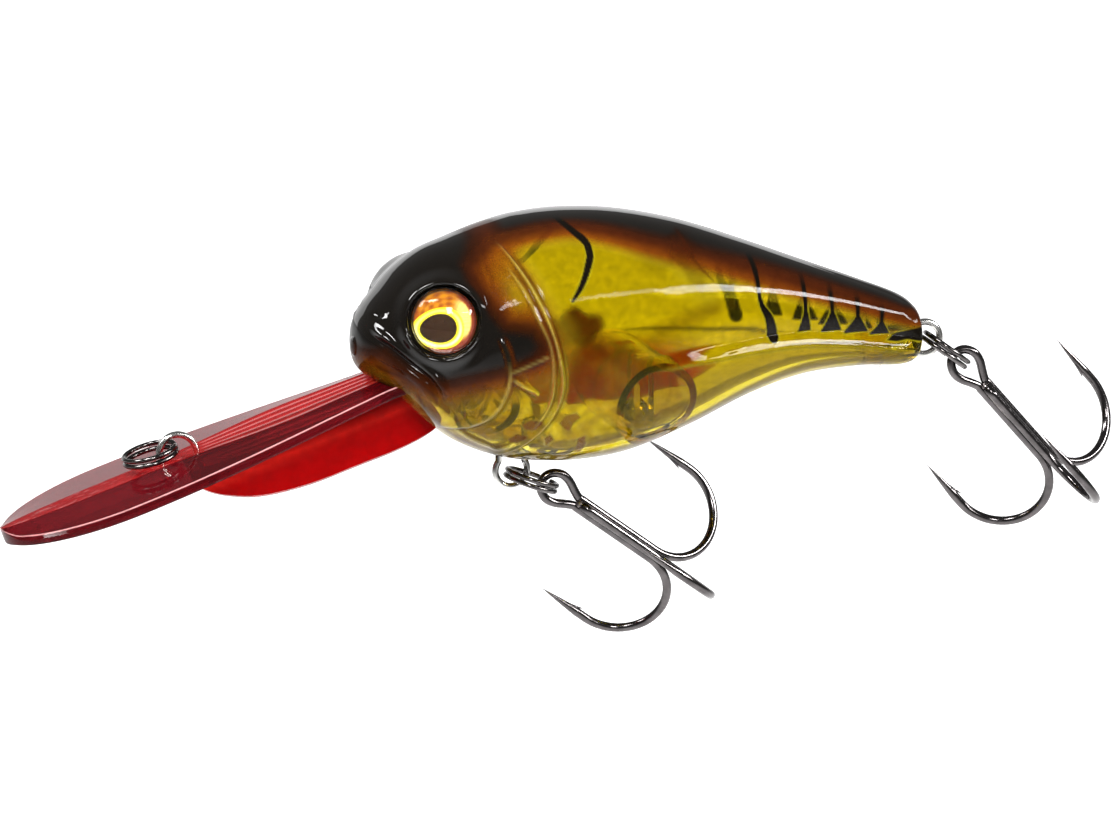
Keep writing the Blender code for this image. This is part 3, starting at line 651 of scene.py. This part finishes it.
def add_bump(material, scale, detail, distance):
    """Fine unevenness of the surface, as high as distance, in metres."""
    wanted = {"Height": object_noise(material, scale, detail), "Distance": distance, "Strength": 1.0}
    made = add_node(material, "ShaderNodeBump", wanted)
    feed(material, made.outputs["Normal"], "Normal")


def vary_roughness(material, scale, detail, low, high):
    feed(material, spread(material, object_noise(material, scale, detail), low, high), "Roughness")


def painted_plastic(name, gloss, ripple, ior):
    """Clear plastic with colour and opacity from the mesh, spray speckle, orange peel and fine wear."""
    made = new_material(name, (0.5, 0.4, 0.05), PLASTIC_ROUGH, transmission=1.0, ior=ior)
    paint_layer = mesh_paint(made)
    clouded(made, paint_layer.outputs["Color"], 900, 3.0, 0.88, 1.12)
    speckle = spread(made, object_noise(made, 7000, 2.0), -0.10, 0.10)
    cover = paint_layer.outputs["Alpha"]
    rest = maths(made, "SUBTRACT", 1.0, cover)
    edge = maths(made, "MULTIPLY", maths(made, "MULTIPLY", cover, rest), 4.0)
    cover = maths(made, "ADD", cover, maths(made, "MULTIPLY", edge, speckle), clamp=True)
    feed(made, maths(made, "SUBTRACT", 1.0, cover), "Transmission Weight")
    if gloss:
        limits = {"Value": cover, "From Min": MARK_COVER, "From Max": 1.0, "To Max": gloss}
        feed(made, add_node(made, "ShaderNodeMapRange", limits).outputs["Result"], "Coat Weight")
    vary_roughness(made, 260, 5.0, PLASTIC_ROUGH * 0.6, PLASTIC_ROUGH * 1.7)
    add_bump(made, 700, 1.0, ripple)
    return made


def metal(name, colour, roughness, bump_height=0.000004):
    """Plated wire: a little cloudy, with small pits."""
    made = new_material(name, colour, roughness, metallic=1.0)
    clouded(made, (*colour, 1), 620, 4.0, 0.72, 1.25)
    vary_roughness(made, 1400, 4.0, roughness * 0.6, roughness * 1.6)
    add_bump(made, 2600, 4.0, bump_height)
    return made


olive_plastic = painted_plastic("clear_olive_body", 0.8, 0.000012, 1.2)
red_plastic = painted_plastic("clear_red_lip", 0.0, 0.000010, 1.2)
inner_plastic = new_material("clear_inner", (0.90, 0.80, 0.22), 0.06, transmission=1.0, ior=1.18)
vary_roughness(inner_plastic, 900, 3.0, 0.01, 0.04)
add_bump(inner_plastic, 900, 3.0, 0.00001)
bright_metal = metal("bright_wire", (0.70, 0.69, 0.66), 0.16)
dark_metal = metal("dark_ring_steel", (0.14, 0.13, 0.127), 0.12)
hook_metal = metal("hook_steel", (0.125, 0.115, 0.116), 0.12)
ball_metal = metal("ball_steel", (0.45, 0.44, 0.43), 0.2)
braze_metal = metal("braze", (0.30, 0.265, 0.26), 0.3, bump_height=0.00004)
dome_clear = new_material("clear_dome", (0.98, 0.98, 0.97), 0.01, transmission=1.0, ior=1.3)
vary_roughness(dome_clear, 500, 3.0, 0.005, 0.03)
add_bump(dome_clear, 350, 3.0, 0.000004)


# Body and what is moulded inside


for word, side in SIDES.items():
    made = skin("body_skin_" + word, side, olive_plastic)
    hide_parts("body_shell_" + word)


def skin_half(x, z):
    """Half width of the plain outer skin at places on the side."""
    top = np.interp(x, ROWS[:, 0], ROWS[:, 1])
    bottom = np.interp(x, ROWS[:, 0], ROWS[:, 2])
    half = np.interp(x, ROWS[:, 0], ROWS[:, 3])
    share = np.minimum(np.abs(z - (top + bottom) / 2) / ((top - bottom) / 2), 1)
    return half * (1 - share**SECTION_POWER) ** (1 / SECTION_POWER)


def round_wall(side, x, z, outer, inner):
    """Points and faces of half a round chamber, from the mid-plane out to the body's wall."""
    turns = tau * np.arange(72) / 72
    rings = []
    for radius, far in ((outer, 0), (outer, 1), (inner, 1), (inner, 0), (outer, 0)):
        along = x + radius * np.cos(turns)
        high = z + radius * np.sin(turns)
        reach = np.maximum(skin_half(along, high) - WALL, 0.3) if far else np.full(72, 0.02)
        rings.append(np.stack((along, side * reach, high), -1))
    return np.array(rings).reshape(-1, 3), grid_faces(5, 72, wrap=True)


def rounded_block(side, x_low, x_high, z_low, z_high, y_near, y_far, corner=0.25):
    """Points and faces of an upright moulded block; z_low and z_high are (at x_low, at x_high)."""
    outline = []
    for x, z, across, up in (
        (x_low, z_low[0], 1, 1),
        (x_high, z_low[1], -1, 1),
        (x_high, z_high[1], -1, -1),
        (x_low, z_high[0], 1, -1),
    ):
        pair = [(x + across * corner, z), (x, z + up * corner)]
        outline += pair if across * up < 0 else pair[::-1]
    outline = np.array(outline)
    centre = outline.mean(0)
    rings = []
    levels = (y_near, y_near, y_near + corner, y_far - corner, y_far, y_far)
    for y, size in zip(levels, (0.0, 0.94, 1.0, 1.0, 0.94, 0.0)):
        flat = centre + (outline - centre) * size
        rings.append(np.stack((flat[:, 0], np.full(8, side * y), flat[:, 1]), -1))
    return np.array(rings).reshape(-1, 3), grid_faces(6, 8, wrap=True)


def moulded_core(word, side):
    """What is moulded inside one half: rattle chamber, ballast cup, chamber rib and two wire blocks."""
    parts = [
        round_wall(side, 34.8, -8.5, 5.2, 4.3),
        round_wall(side, 14.4, -7.6, 3.4, 2.5),
        rounded_block(side, 33.9, 35.7, (-12.8, -12.8), (-4.1, -4.1), 2.3, 4.8),
        rounded_block(side, 15.9, 23.6, (-14.3, -14.9), (-11.8, -11.8), 0.25, 1.9),
        rounded_block(side, 62.6, 68.6, (-6.6, -6.7), (2.2, -0.4), 0.25, 1.9),
    ]
    points, faces = gather(parts)
    made = mesh_object("moulded_core_" + word, to_frame(points), faces, inner_plastic, "root")
    made.data.set_sharp_from_angle(angle=radians(35))


for word, side in SIDES.items():
    moulded_core(word, side)


# Diving lip

LIP_SLOPE = radians(18.6)
TIE_ABOVE_LIP = 1.3
LIP_TIP = 22.7
LIP_WIDEST = 8.0
LIP_HALF = 10.7
LIP_ROOT = -25.0
LIP_ROOT_HALF = 6.0
LIP_TONGUE = -31.0
LIP_THICK = 1.9
PLATE_COLUMNS = 41  # 6 near, 17 along the middle, 6 far, then edges and underside
PLATE_MIDDLE = slice(6, 23)
# Columns along the top edges of the plate, which get a painted highlight
PLATE_TOP_EDGES = (1, 2, 26, 27)
KEEL_HALF = 0.75
KEEL_ROUNDING = 0.05  # share of its height over which the fin's edge is rounded
KEEL_SHARES = (0.0, KEEL_ROUNDING, 0.14, 0.26, 0.38, 0.5, 0.58, 0.66, 0.73, 0.8, 0.87, 0.94, 1.0)
KEEL = ((-20.4, -13.2), (-19.6, -15.4), (-18.3, -17.0), (-15.4, -18.1), (-10.9, -18.5))
KEEL += ((-5.0, -17.5), (0.7, -15.7), (5.9, -14.0), (9.6, -12.3), (11.6, -10.6))


def on_lip(u, y, w):
    """Metres from the line tie, for mm along the lip, u, across it, y, and above its top face, w."""
    w = w - TIE_ABOVE_LIP
    x = -u * cos(LIP_SLOPE) - w * sin(LIP_SLOPE)
    z = -u * sin(LIP_SLOPE) + w * cos(LIP_SLOPE)
    return np.stack(np.broadcast_arrays(x, y, z), -1) * MM


def lip_half(u):
    """Half width of the lip at a place along it."""
    front = LIP_HALF * np.sqrt(np.clip(1 - ((u - LIP_WIDEST) / (LIP_TIP - LIP_WIDEST)) ** 2, 0, 1))
    share = np.clip((u - LIP_ROOT) / (LIP_WIDEST - LIP_ROOT), 0, 1)
    back = LIP_ROOT_HALF + (LIP_HALF - LIP_ROOT_HALF) * np.sin(share * pi / 2) ** 1.15
    return np.where(u > LIP_WIDEST, front, back)


def lip_plate():
    """The plate: a fluted middle panel, two sloping facets, and bevelled edges all round."""
    front = LIP_WIDEST + (LIP_TIP - LIP_WIDEST) * np.sin(pi / 2 * np.arange(1, 61) / 60) * 0.9998
    u = np.concatenate((np.linspace(LIP_TONGUE, LIP_WIDEST, 90), front))
    rows = []
    for here in u:
        half = float(lip_half(here))
        rise = min(half / 4.0, 1.0)
        panel = half * (0.17 + 0.26 * ramp(here, 2.0, -16.0))
        inner = max(half - 0.6, half * 0.8)
        drop = 0.62 * rise
        flute = 0.06 * ramp(here, -2.0, -9.0)
        across = np.linspace(-1, 1, 17)
        top = [(panel * t, -flute * sin(2 * pi * abs(t)) ** 2) for t in across]
        near = [
            (-inner - 0.24, -drop - 0.14),
            (-inner - 0.12, -drop - 0.05),
            (-inner, -drop),
            (-inner + 0.14, -drop + 0.01),
            (-inner * 0.6 - panel * 0.4, -drop * 0.6 - 0.02),
            (-panel - 0.15, -0.07),
        ]
        far = [(-y, w) for y, w in near[::-1]]
        edge = [(half, -drop - 0.42 * rise), (half, -LIP_THICK + 0.40)]
        edge += [(half - 0.12, -LIP_THICK + 0.16)]
        under = [(inner, -LIP_THICK), (0.6 * inner, -LIP_THICK), (0.2 * inner, -LIP_THICK)]
        right = edge + under
        left = [(-y, w) for y, w in right[::-1]]
        rows.append([on_lip(here, y, w) for y, w in near + top + far + right + left])
    rows = np.array(rows)
    return rows.reshape(-1, 3), tube_faces(len(rows), PLATE_COLUMNS)


def plate_paint(count):
    """Wine red at the sides, clearer and brighter along the middle, with a painted highlight along the
    top edges.
    """
    rows = count // PLATE_COLUMNS
    colours = np.empty((rows, PLATE_COLUMNS, 4))
    colours[:] = (0.13, 0.005, 0.009, 0.25)
    share = np.linspace(0, 1, rows)[:, None]
    bright = (0.75, 0.030, 0.025, 0.35)
    flutes = 0.5 + 0.5 * np.cos(np.arange(17) * pi / 2 + 0.6)
    amount = (0.45 + 0.5 * ramp(share, 0.75, 0.25)) * (1 - 0.45 * flutes * ramp(share, 0.75, 0.3))
    panel = colours[:, PLATE_MIDDLE]
    panel += (np.array(bright) - panel) * amount[..., None]
    # Painted highlight: pale colour along the top edges of the plate
    for column in PLATE_TOP_EDGES:
        colours[:, column] = (0.80, 0.40, 0.40, 0.6)
    return colours.reshape(-1, 4)


def keel_paint(points):
    """Saturated red, with painted shade where the fin meets the plate and a painted reflection band
    below it.
    """
    underside = TIE_ABOVE_LIP / cos(LIP_SLOPE) + LIP_THICK / cos(LIP_SLOPE)
    gap = points[:, 0] * np.tan(LIP_SLOPE) / MM - underside - points[:, 2] / MM
    colours = np.empty((len(points), 4))
    colours[:] = (0.38, 0.0005, 0.001, 0.88)
    # Painted shade: darker streaks on the fin next to the plate
    dark = np.maximum(bump(gap - 0.3, 0.5), 0.7 * bump(gap - 2.0, 0.35))
    colours[:, :3] *= (1 - 0.85 * dark)[:, None]
    # Painted reflection: a lighter red band below the dark streaks
    light = bump(gap - 3.0, 0.6)
    colours[:, :3] += (np.array((0.80, 0.02, 0.012)) - colours[:, :3]) * (0.6 * light)[:, None]
    return colours


def lip_keel():
    """The upright fin: a smooth edge, rounded across, running up into the plate."""
    slope = np.tan(LIP_SLOPE)
    columns = []
    for x, z in curve(KEEL, 6):
        plate_z = (x + NOSE[0]) * slope - NOSE[2] - TIE_ABOVE_LIP / cos(LIP_SLOPE) - 1.5
        plate_z = max(plate_z, z + 0.1)
        column = []
        for side, order in ((-1, KEEL_SHARES[:0:-1]), (1, KEEL_SHARES)):
            for share in order:
                y = side * KEEL_HALF * min((share / KEEL_ROUNDING) ** 0.5, 1.0)
                column.append((x, y, z + (plate_z - z) * share))
        columns.append(column)
    columns = np.array(columns)
    faces = tube_faces(len(columns), columns.shape[1], wrap=False)
    return to_frame(columns.reshape(-1, 3)), faces


plate, keel = lip_plate(), lip_keel()
lip_points, lip_faces = gather((plate, keel))
lip = mesh_object("diving_lip_plate", lip_points, lip_faces, red_plastic, "root")
lip.data.set_sharp_from_angle(angle=radians(14))
set_paint(lip, np.concatenate((plate_paint(len(plate[0])), keel_paint(keel[0]))))
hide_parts("diving_lip")


# Eyes


def eye(word, side):
    """A printed foil disc with a pupil off its centre, under a clear dome."""
    centre, axis, back, up = eye_frame(side)
    rings, around = 46, 160
    turns = tau * np.arange(around) / around
    radius = IRIS_RADIUS * np.arange(1, rings + 1) / rings
    b = radius[:, None] * np.cos(turns)
    u = radius[:, None] * np.sin(turns)
    low = IRIS_LEVEL + IRIS_CROWN * (1 - (radius / DOME_RADIUS) ** 2)
    points = [centre + axis * (low[0] + 0.001)]
    for k in range(rings):
        points += list(centre + axis * low[k] + np.outer(b[k], back) + np.outer(u[k], up))
    faces = [[0, 1 + k, 1 + (k + 1) % around] for k in range(around)]
    faces += grid_faces(rings, around, wrap=True, start=1)

    # The print, drawn by how far back (b) and up (u) each point lies from the disc's centre
    b = np.concatenate(([0.0], b.ravel())) / PRINT_SCALE
    u = np.concatenate(([0.0], u.ravel())) / PRINT_SCALE
    far = np.hypot(b, u)
    turn = np.arctan2(u, b)
    colours = np.empty((len(b), 4))
    colours[:] = (0.15, 0.027, 0.001, 1)

    def tint(tone, amount):
        amount = np.clip(amount, 0, 1)[:, None]
        colours[:, :3] = colours[:, :3] + (np.array(tone) - colours[:, :3]) * amount

    fibre = 0.5 + 0.5 * np.sin(47 * turn + 2.2 * np.sin(7 * turn + far * 2.1))
    patch = 0.5 + 0.5 * np.sin(9 * turn + 5.0 * far) * np.cos(6 * far - 4 * turn)
    tint((0.14, 0.016, 0.003), 0.9 * fibre * patch * ramp(u, 0.0, 1.2))
    tint((0.42, 0.17, 0.004), 0.8 * (1 - patch) * ramp(u, 0.3, 1.4))
    crescent = ramp(b, 0.9, 1.9) * ramp(u, 2.6, 1.4) * ramp(u, -2.2, -1.0)
    tint((0.80, 0.55, 0.14), 0.9 * crescent * (0.7 + 0.3 * fibre))
    pupil_b, pupil_u = (b + 0.62) / 1.90, (u + 0.66) / (1.54 + 0.10 * b)
    egg = np.hypot(pupil_b, pupil_u)
    tint((0.98, 0.78, 0.012), ramp(egg, 1.43, 1.34))
    shine = 0.8 * ramp(np.abs(egg - 1.20), 0.12, 0.02) * (0.4 + 0.6 * ramp(u, 1.0, -2.0))
    tint((1.0, 0.93, 0.35), shine)
    tint((0.014, 0.005, 0.001), ramp(egg, 1.06, 0.98))
    tint((0.010, 0.005, 0.002), ramp(egg, 1.00, 0.94) * ramp(egg, 0.75, 0.95))
    tint((0.12, 0.014, 0.004), ramp(far, 2.58, 2.85) * ramp(b - 0.4 * u, -0.5, 1.0))
    tint((0.002, 0.0015, 0.001), ramp(far, 2.95, 3.06))
    foil = mesh_object("iris_foil_" + word, to_frame(np.array(points)), faces, iris_foil, "root")
    set_paint(foil, colours)
    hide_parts("eye_iris_" + word)

    profile = [(DOME_RADIUS, rise) for rise in DOME_EDGE]
    for k in range(1, 20):
        t = pi / 2 * k / 20
        profile.append((DOME_RADIUS * cos(t), DOME_EDGE[1] + DOME_RISE * sin(t)))
    circle = np.outer(np.cos(turns), back) + np.outer(np.sin(turns), up)
    rows = [centre + axis * rise + size * circle for size, rise in profile]
    crown = centre + axis * (DOME_EDGE[1] + DOME_RISE)
    dome_points = np.concatenate((np.array(rows).reshape(-1, 3), [crown]))
    dome_faces = grid_faces(len(rows), around, wrap=True)
    last = (len(rows) - 1) * around
    dome_faces += [[last + k, last + (k + 1) % around, len(dome_points) - 1] for k in range(around)]
    dome_faces.append(list(range(around))[::-1])
    dome = mesh_object("eye_dome_" + word, to_frame(dome_points), dome_faces, dome_clear, "root")
    dome.data.set_sharp_from_angle(angle=radians(50))
    dome.visible_shadow = False
    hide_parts("eye_lens_" + word)


iris_foil = new_material("iris_foil", (0.8, 0.4, 0.05), 0.35)
shader_of(iris_foil).inputs["Specular IOR Level"].default_value = 0.02
feed(iris_foil, mesh_paint(iris_foil).outputs["Color"], "Base Color")
vary_roughness(iris_foil, 2500, 3.0, 0.35, 0.6)
add_bump(iris_foil, 3500, 3.0, 0.00003)
for word, side in SIDES.items():
    eye(word, side)


# Wires, rings and hooks

ACROSS = np.array((0.0, 1.0, 0.0))
LOOP_WIRE = 0.4  # radius of the loops' wire
LOOP_RADIUS = 1.95
LOOP_HALF_OPEN = 1.55
LEG_LENGTH = 4.6
TIE_HALF = 2.3
TIE_RISE = 2.6
RING_RADIUS = 3.1
RING_WIRE = 0.285
RING_CROSSOVER = radians(32)
HOOK_WIRE = 0.53
HOOK_TAPER = 5.2
BEND_RADIUS = 5.9
BEND_AT = 14.6  # from the hook's eye along the shank, as the next two
POINT_AT = 8.0
SHANK_START = 3.4
BARB_RADII = (0.30, 0.20, 0.03)
# One side of the hook's eye: place along the shank and below it
HOOK_EYE = ((2.9, 0.56), (1.9, 0.98), (0.7, 1.55), (-0.5, 1.72), (-1.6, 1.25), (-2.15, 0.45))


def below(slope):
    """Back and down in the mid-plane, by a slope in degrees."""
    return np.array((cos(radians(slope)), 0, -sin(radians(slope))))


def above(slope):
    """Square to that, back and up."""
    return np.array((sin(radians(slope)), 0, cos(radians(slope))))


def tie_arch():
    """The line-tie wire, from one foot over to the other."""
    turns = pi * np.arange(41) / 40
    u = np.concatenate(([TIE_HALF] * 2, TIE_HALF * np.cos(turns), [-TIE_HALF] * 2))
    w = np.concatenate(([-1.15, -0.5], TIE_RISE * np.sin(turns), [-0.5, -1.15]))
    return on_lip(u, 0.0, w)


def hanger(centre, out):
    """A loop outside the body with its two legs and splayed feet; out is its direction, in (x, z)."""
    out = np.array(out, float)
    across = np.array((-out[1], out[0]))
    radius, half_open = LOOP_RADIUS, LOOP_HALF_OPEN
    neck = np.arcsin(half_open / radius)
    foot = -radius * cos(neck) - LEG_LENGTH
    leg = [(foot, half_open + 1.6), (foot + 0.25, half_open + 0.35), (foot + 0.9, half_open)]
    turns = pi - neck - (2 * pi - 2 * neck) * np.arange(49) / 48
    loop = [(radius * cos(t), radius * sin(t)) for t in turns]
    flat = np.array(leg + loop + [(a, -b) for a, b in leg[::-1]])
    spots = np.array(centre) + flat[:, :1] * out + flat[:, 1:] * across
    return to_frame(np.stack((spots[:, 0], np.zeros(len(spots)), spots[:, 1]), -1))


def split_ring(name, held, slope, body, start):
    """Two turns of flattened wire; held is where the ring hangs, in mm from the line tie."""
    direction = below(slope)
    normal = np.cross(direction, ACROSS)
    centre = np.array(held, float) + direction * RING_RADIUS
    end = 2 * tau - RING_CROSSOVER - radians(4)
    turns = np.linspace(0, end, 150)
    share = np.clip((turns - (tau - RING_CROSSOVER)) / RING_CROSSOVER, 0, 1)
    height = 0.35 * (2 * share * share * (3 - 2 * share) - 1)
    angle = turns + radians(start)
    path = centre + np.outer(np.cos(angle), direction) * RING_RADIUS
    path = path + np.outer(np.sin(angle), ACROSS) * RING_RADIUS + np.outer(height, normal)
    made = tube(name + "_coil", path * MM, RING_WIRE * MM, 16, dark_metal, body, squash=1.04)
    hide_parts(name)


def hook_leg(eye_at, slope, turn, offset):
    """Paths of one hook of a treble, from shank to point, and of its barb, in mm from the line tie."""
    shank = below(slope)
    away = above(slope) * cos(radians(turn)) + ACROSS * sin(radians(turn))
    flat = [(SHANK_START + (BEND_AT - SHANK_START) * k / 8, offset) for k in range(8)]
    centre = offset + BEND_RADIUS
    for k in range(41):
        t = pi * k / 40
        flat.append((BEND_AT + BEND_RADIUS * sin(t), centre - BEND_RADIUS * cos(t)))
    for k in range(1, 25):
        flat.append((BEND_AT - (BEND_AT - POINT_AT) * k / 24, centre + BEND_RADIUS))
    flat = np.array(flat)
    path = eye_at + np.outer(flat[:, 0], shank) + np.outer(flat[:, 1], away)
    barb = [(POINT_AT + 3.7, -0.10), (POINT_AT + 4.6, -0.42), (POINT_AT + 5.5, -0.86)]
    barb_path = np.array([eye_at + a * shank + (centre + BEND_RADIUS + r) * away for a, r in barb])
    return path, barb_path


def needle(path, start, finish):
    """Radius along a hook's wire: full, then drawn out to a fine tip at the ends asked for."""
    steps = np.linalg.norm(np.diff(path, axis=0), axis=1)
    run = np.concatenate(([0], np.cumsum(steps)))
    size = np.full(len(path), HOOK_WIRE)
    for wanted, away in ((start, run), (finish, run[-1] - run)):
        if wanted:
            size = np.minimum(size, HOOK_WIRE * np.clip((away / HOOK_TAPER) ** 0.8, 0.06, 1))
    return size


def joined(name, shapes, material, body):
    """One piece from several closed tubes, each (path in mm, radius, sides)."""
    closed = []
    for path, radius, sides in shapes:
        rings = tube_points(path, radius, sides)
        closed.append((rings.reshape(-1, 3), tube_faces(len(rings), sides)))
    points, faces = gather(closed)
    return mesh_object(name, points * MM, faces, material, body)


def treble(name, ring_held, ring_slope, slope):
    """A split ring and the double and third hooks that hang on it."""
    split_ring(name + "_split_ring", ring_held, ring_slope, name + "_ring", 60)
    eye_at = np.array(ring_held) + below(ring_slope) * 2 * RING_RADIUS + below(slope) * 0.4
    shank, up = below(slope), above(slope)
    lower, lower_barb = hook_leg(eye_at, slope, 150, 0.65)
    upper, upper_barb = hook_leg(eye_at, slope, 30, 0.65)
    loop = []
    for k, (a, q) in enumerate(HOOK_EYE):
        loop.append((a, -q, 0.325 * max(1 - k / 3, 0)))
    loop += [(a, -q, b) for a, q, b in loop[::-1]]
    loop = [eye_at + shank * a + up * q + ACROSS * b for a, q, b in loop]
    ring = curve([lower[0]] + loop + [upper[0]], 6)
    path = np.concatenate((lower[::-1][:-1], ring, upper[1:]))
    braze = eye_at + np.outer(np.linspace(3.0, 9.9, 14), shank)
    braze_size = 0.62 * np.sin(pi * np.linspace(0.06, 0.94, 14)) ** 0.25
    body = name + "_hook"
    double = [(path, needle(path, True, True), 20)]
    double += [(barb, BARB_RADII, 8) for barb in (lower_barb, upper_barb)]
    made = joined(body + "_wire", double, hook_metal, body)
    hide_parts(body + "_double")
    made = joined(body + "_braze", ((braze, braze_size, 20),), braze_metal, body)
    third, barb = hook_leg(eye_at, slope, -90, 0.78)
    single = ((third, needle(third, False, True), 20), (barb, BARB_RADII, 8))
    made = joined(body + "_third_wire", single, hook_metal, body)
    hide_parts(body + "_third")


split_ring("line_split_ring", (0, 0, 0), 180 - 15.6, "line_ring", 200)
treble("belly", (40.60, 0, -5.90), 20.0, 36.5)
treble("tail", (92.30, 0, 7.35), 37.0, 49.0)
for name, path in (
    ("line_tie_wire", tie_arch()),
    ("belly_hanger_wire", hanger((19.7, -17.3), (0, -1))),
    ("tail_hanger_wire", hanger((70.75, -4.6), (1, 0))),
):
    made = tube(name + "_bent", path, LOOP_WIRE * MM, 16, bright_metal, "root")
    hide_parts(name)

for node_name in ("ballast_ball", "rattle_ball"):
    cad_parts[node_name].material_slots[0].material = ball_metal


# Floor, light and camera


FLOOR_GLOW = 0.68
ROOM_GLOW = 0.80
ROOM_LIGHT = 0.14
FRAME_WIDTH = 0.1318  # what the camera's frame spans at the target
FLOOR_HALF = 6.0
FLOOR_LEVEL = -0.115


def glowing(owner, glow, light, socket):
    """Feeds a strength of light, and as much more as glow where it is seen straight or through plastic.

    What reflects in gloss, and the light on the lure, come from the plain strength and the lamps alone.
    """
    path = add_node(owner, "ShaderNodeLightPath").outputs
    seen = maths(owner, "MAXIMUM", path["Is Camera Ray"], path["Is Transmission Ray"])
    strength = {0: seen, 1: glow, 2: light}
    more = add_node(owner, "ShaderNodeMath", strength, operation="MULTIPLY_ADD")
    owner.node_tree.links.new(more.outputs[0], socket)


scene = bpy.context.scene
scene.view_settings.view_transform = "Standard"
world = bpy.data.worlds.new("studio")
world.use_nodes = True
room = world.node_tree.nodes["Background"].inputs
room["Color"].default_value = (1, 1, 1, 1)
glowing(world, ROOM_GLOW, ROOM_LIGHT, room["Strength"])
scene.world = world

floor_material = new_material("floor", (0.88, 0.88, 0.88), 0.6)
vary_roughness(floor_material, 3, 3.0, 0.55, 0.65)
shine = shader_of(floor_material).inputs
shine["Emission Color"].default_value = (1, 1, 1, 1)
glowing(floor_material, FLOOR_GLOW, 0.0, shine["Emission Strength"])
signs = ((-1, -1), (1, -1), (1, 1), (-1, 1))
corners = [(x * FLOOR_HALF, y * FLOOR_HALF, FLOOR_LEVEL) for x, y in signs]
mesh = bpy.data.meshes.new("floor")
mesh.from_pydata(corners, [], [(0, 1, 2, 3)])
mesh.materials.append(floor_material)
floor = bpy.data.objects.new("floor", mesh)
scene.collection.objects.link(floor)

target = Vector((0.04705, 0, 0.00003))


def direction(turn, height):
    """From the target outwards, by a turn and a height in degrees; turn 0 is in front."""
    turn, height = radians(turn), radians(height)
    return Vector((sin(turn) * cos(height), -cos(turn) * cos(height), sin(height)))


def soft_light(
    name, turn, height, distance, width, depth, power, mirrored=True, fan=180, aim=(0, 0, 0)
):
    """An area light, facing the target or a place off it; mirrored shows it in gloss."""
    lamp = bpy.data.lights.new(name, "AREA")
    lamp.shape = "RECTANGLE"
    lamp.size = width
    lamp.size_y = depth
    lamp.energy = power
    lamp.spread = radians(fan)
    light = bpy.data.objects.new(name, lamp)
    light.visible_glossy = mirrored
    light.location = target + direction(turn, height) * distance
    back = light.location - target - Vector(aim)
    light.rotation_euler = back.to_track_quat("Z", "Y").to_euler()
    scene.collection.objects.link(light)


soft_light("side_strip", 60, 25, 0.9, 0.62, 0.10, 1.1, fan=60)
soft_light("window_box", -13, 29, 0.9, 0.14, 0.17, 0.09, fan=30)
soft_light("left_box", -95, 40, 0.9, 0.30, 0.24, 0.22, fan=34)
soft_light("brow_box", -55, 48, 0.9, 0.36, 0.10, 0.16, fan=30)
soft_light("front_strip", 28, 26, 0.9, 0.42, 0.045, 0.045, fan=40)
soft_light("back_wall", 170, 8, 1.6, 2.4, 0.62, 4.0)
soft_light("top_box", 180, 60, 1.5, 1.6, 1.0, 4.0, mirrored=False, fan=80, aim=(0.1, 0.55, -0.115))
soft_light("front_fill", -20, 42, 1.6, 0.5, 0.5, 0.6, mirrored=False, fan=30)

camera_data = bpy.data.cameras.new("camera")
camera_data.lens = 500
camera_data.sensor_width = 36
camera_data.clip_start = 0.05
camera_data.clip_end = 50
camera = bpy.data.objects.new("camera", camera_data)
way = direction(-17, 12.5)
camera.location = target + way * FRAME_WIDTH * camera_data.lens / camera_data.sensor_width
camera.rotation_euler = way.to_track_quat("Z", "Y").to_euler()
scene.collection.objects.link(camera)
scene.camera = camera
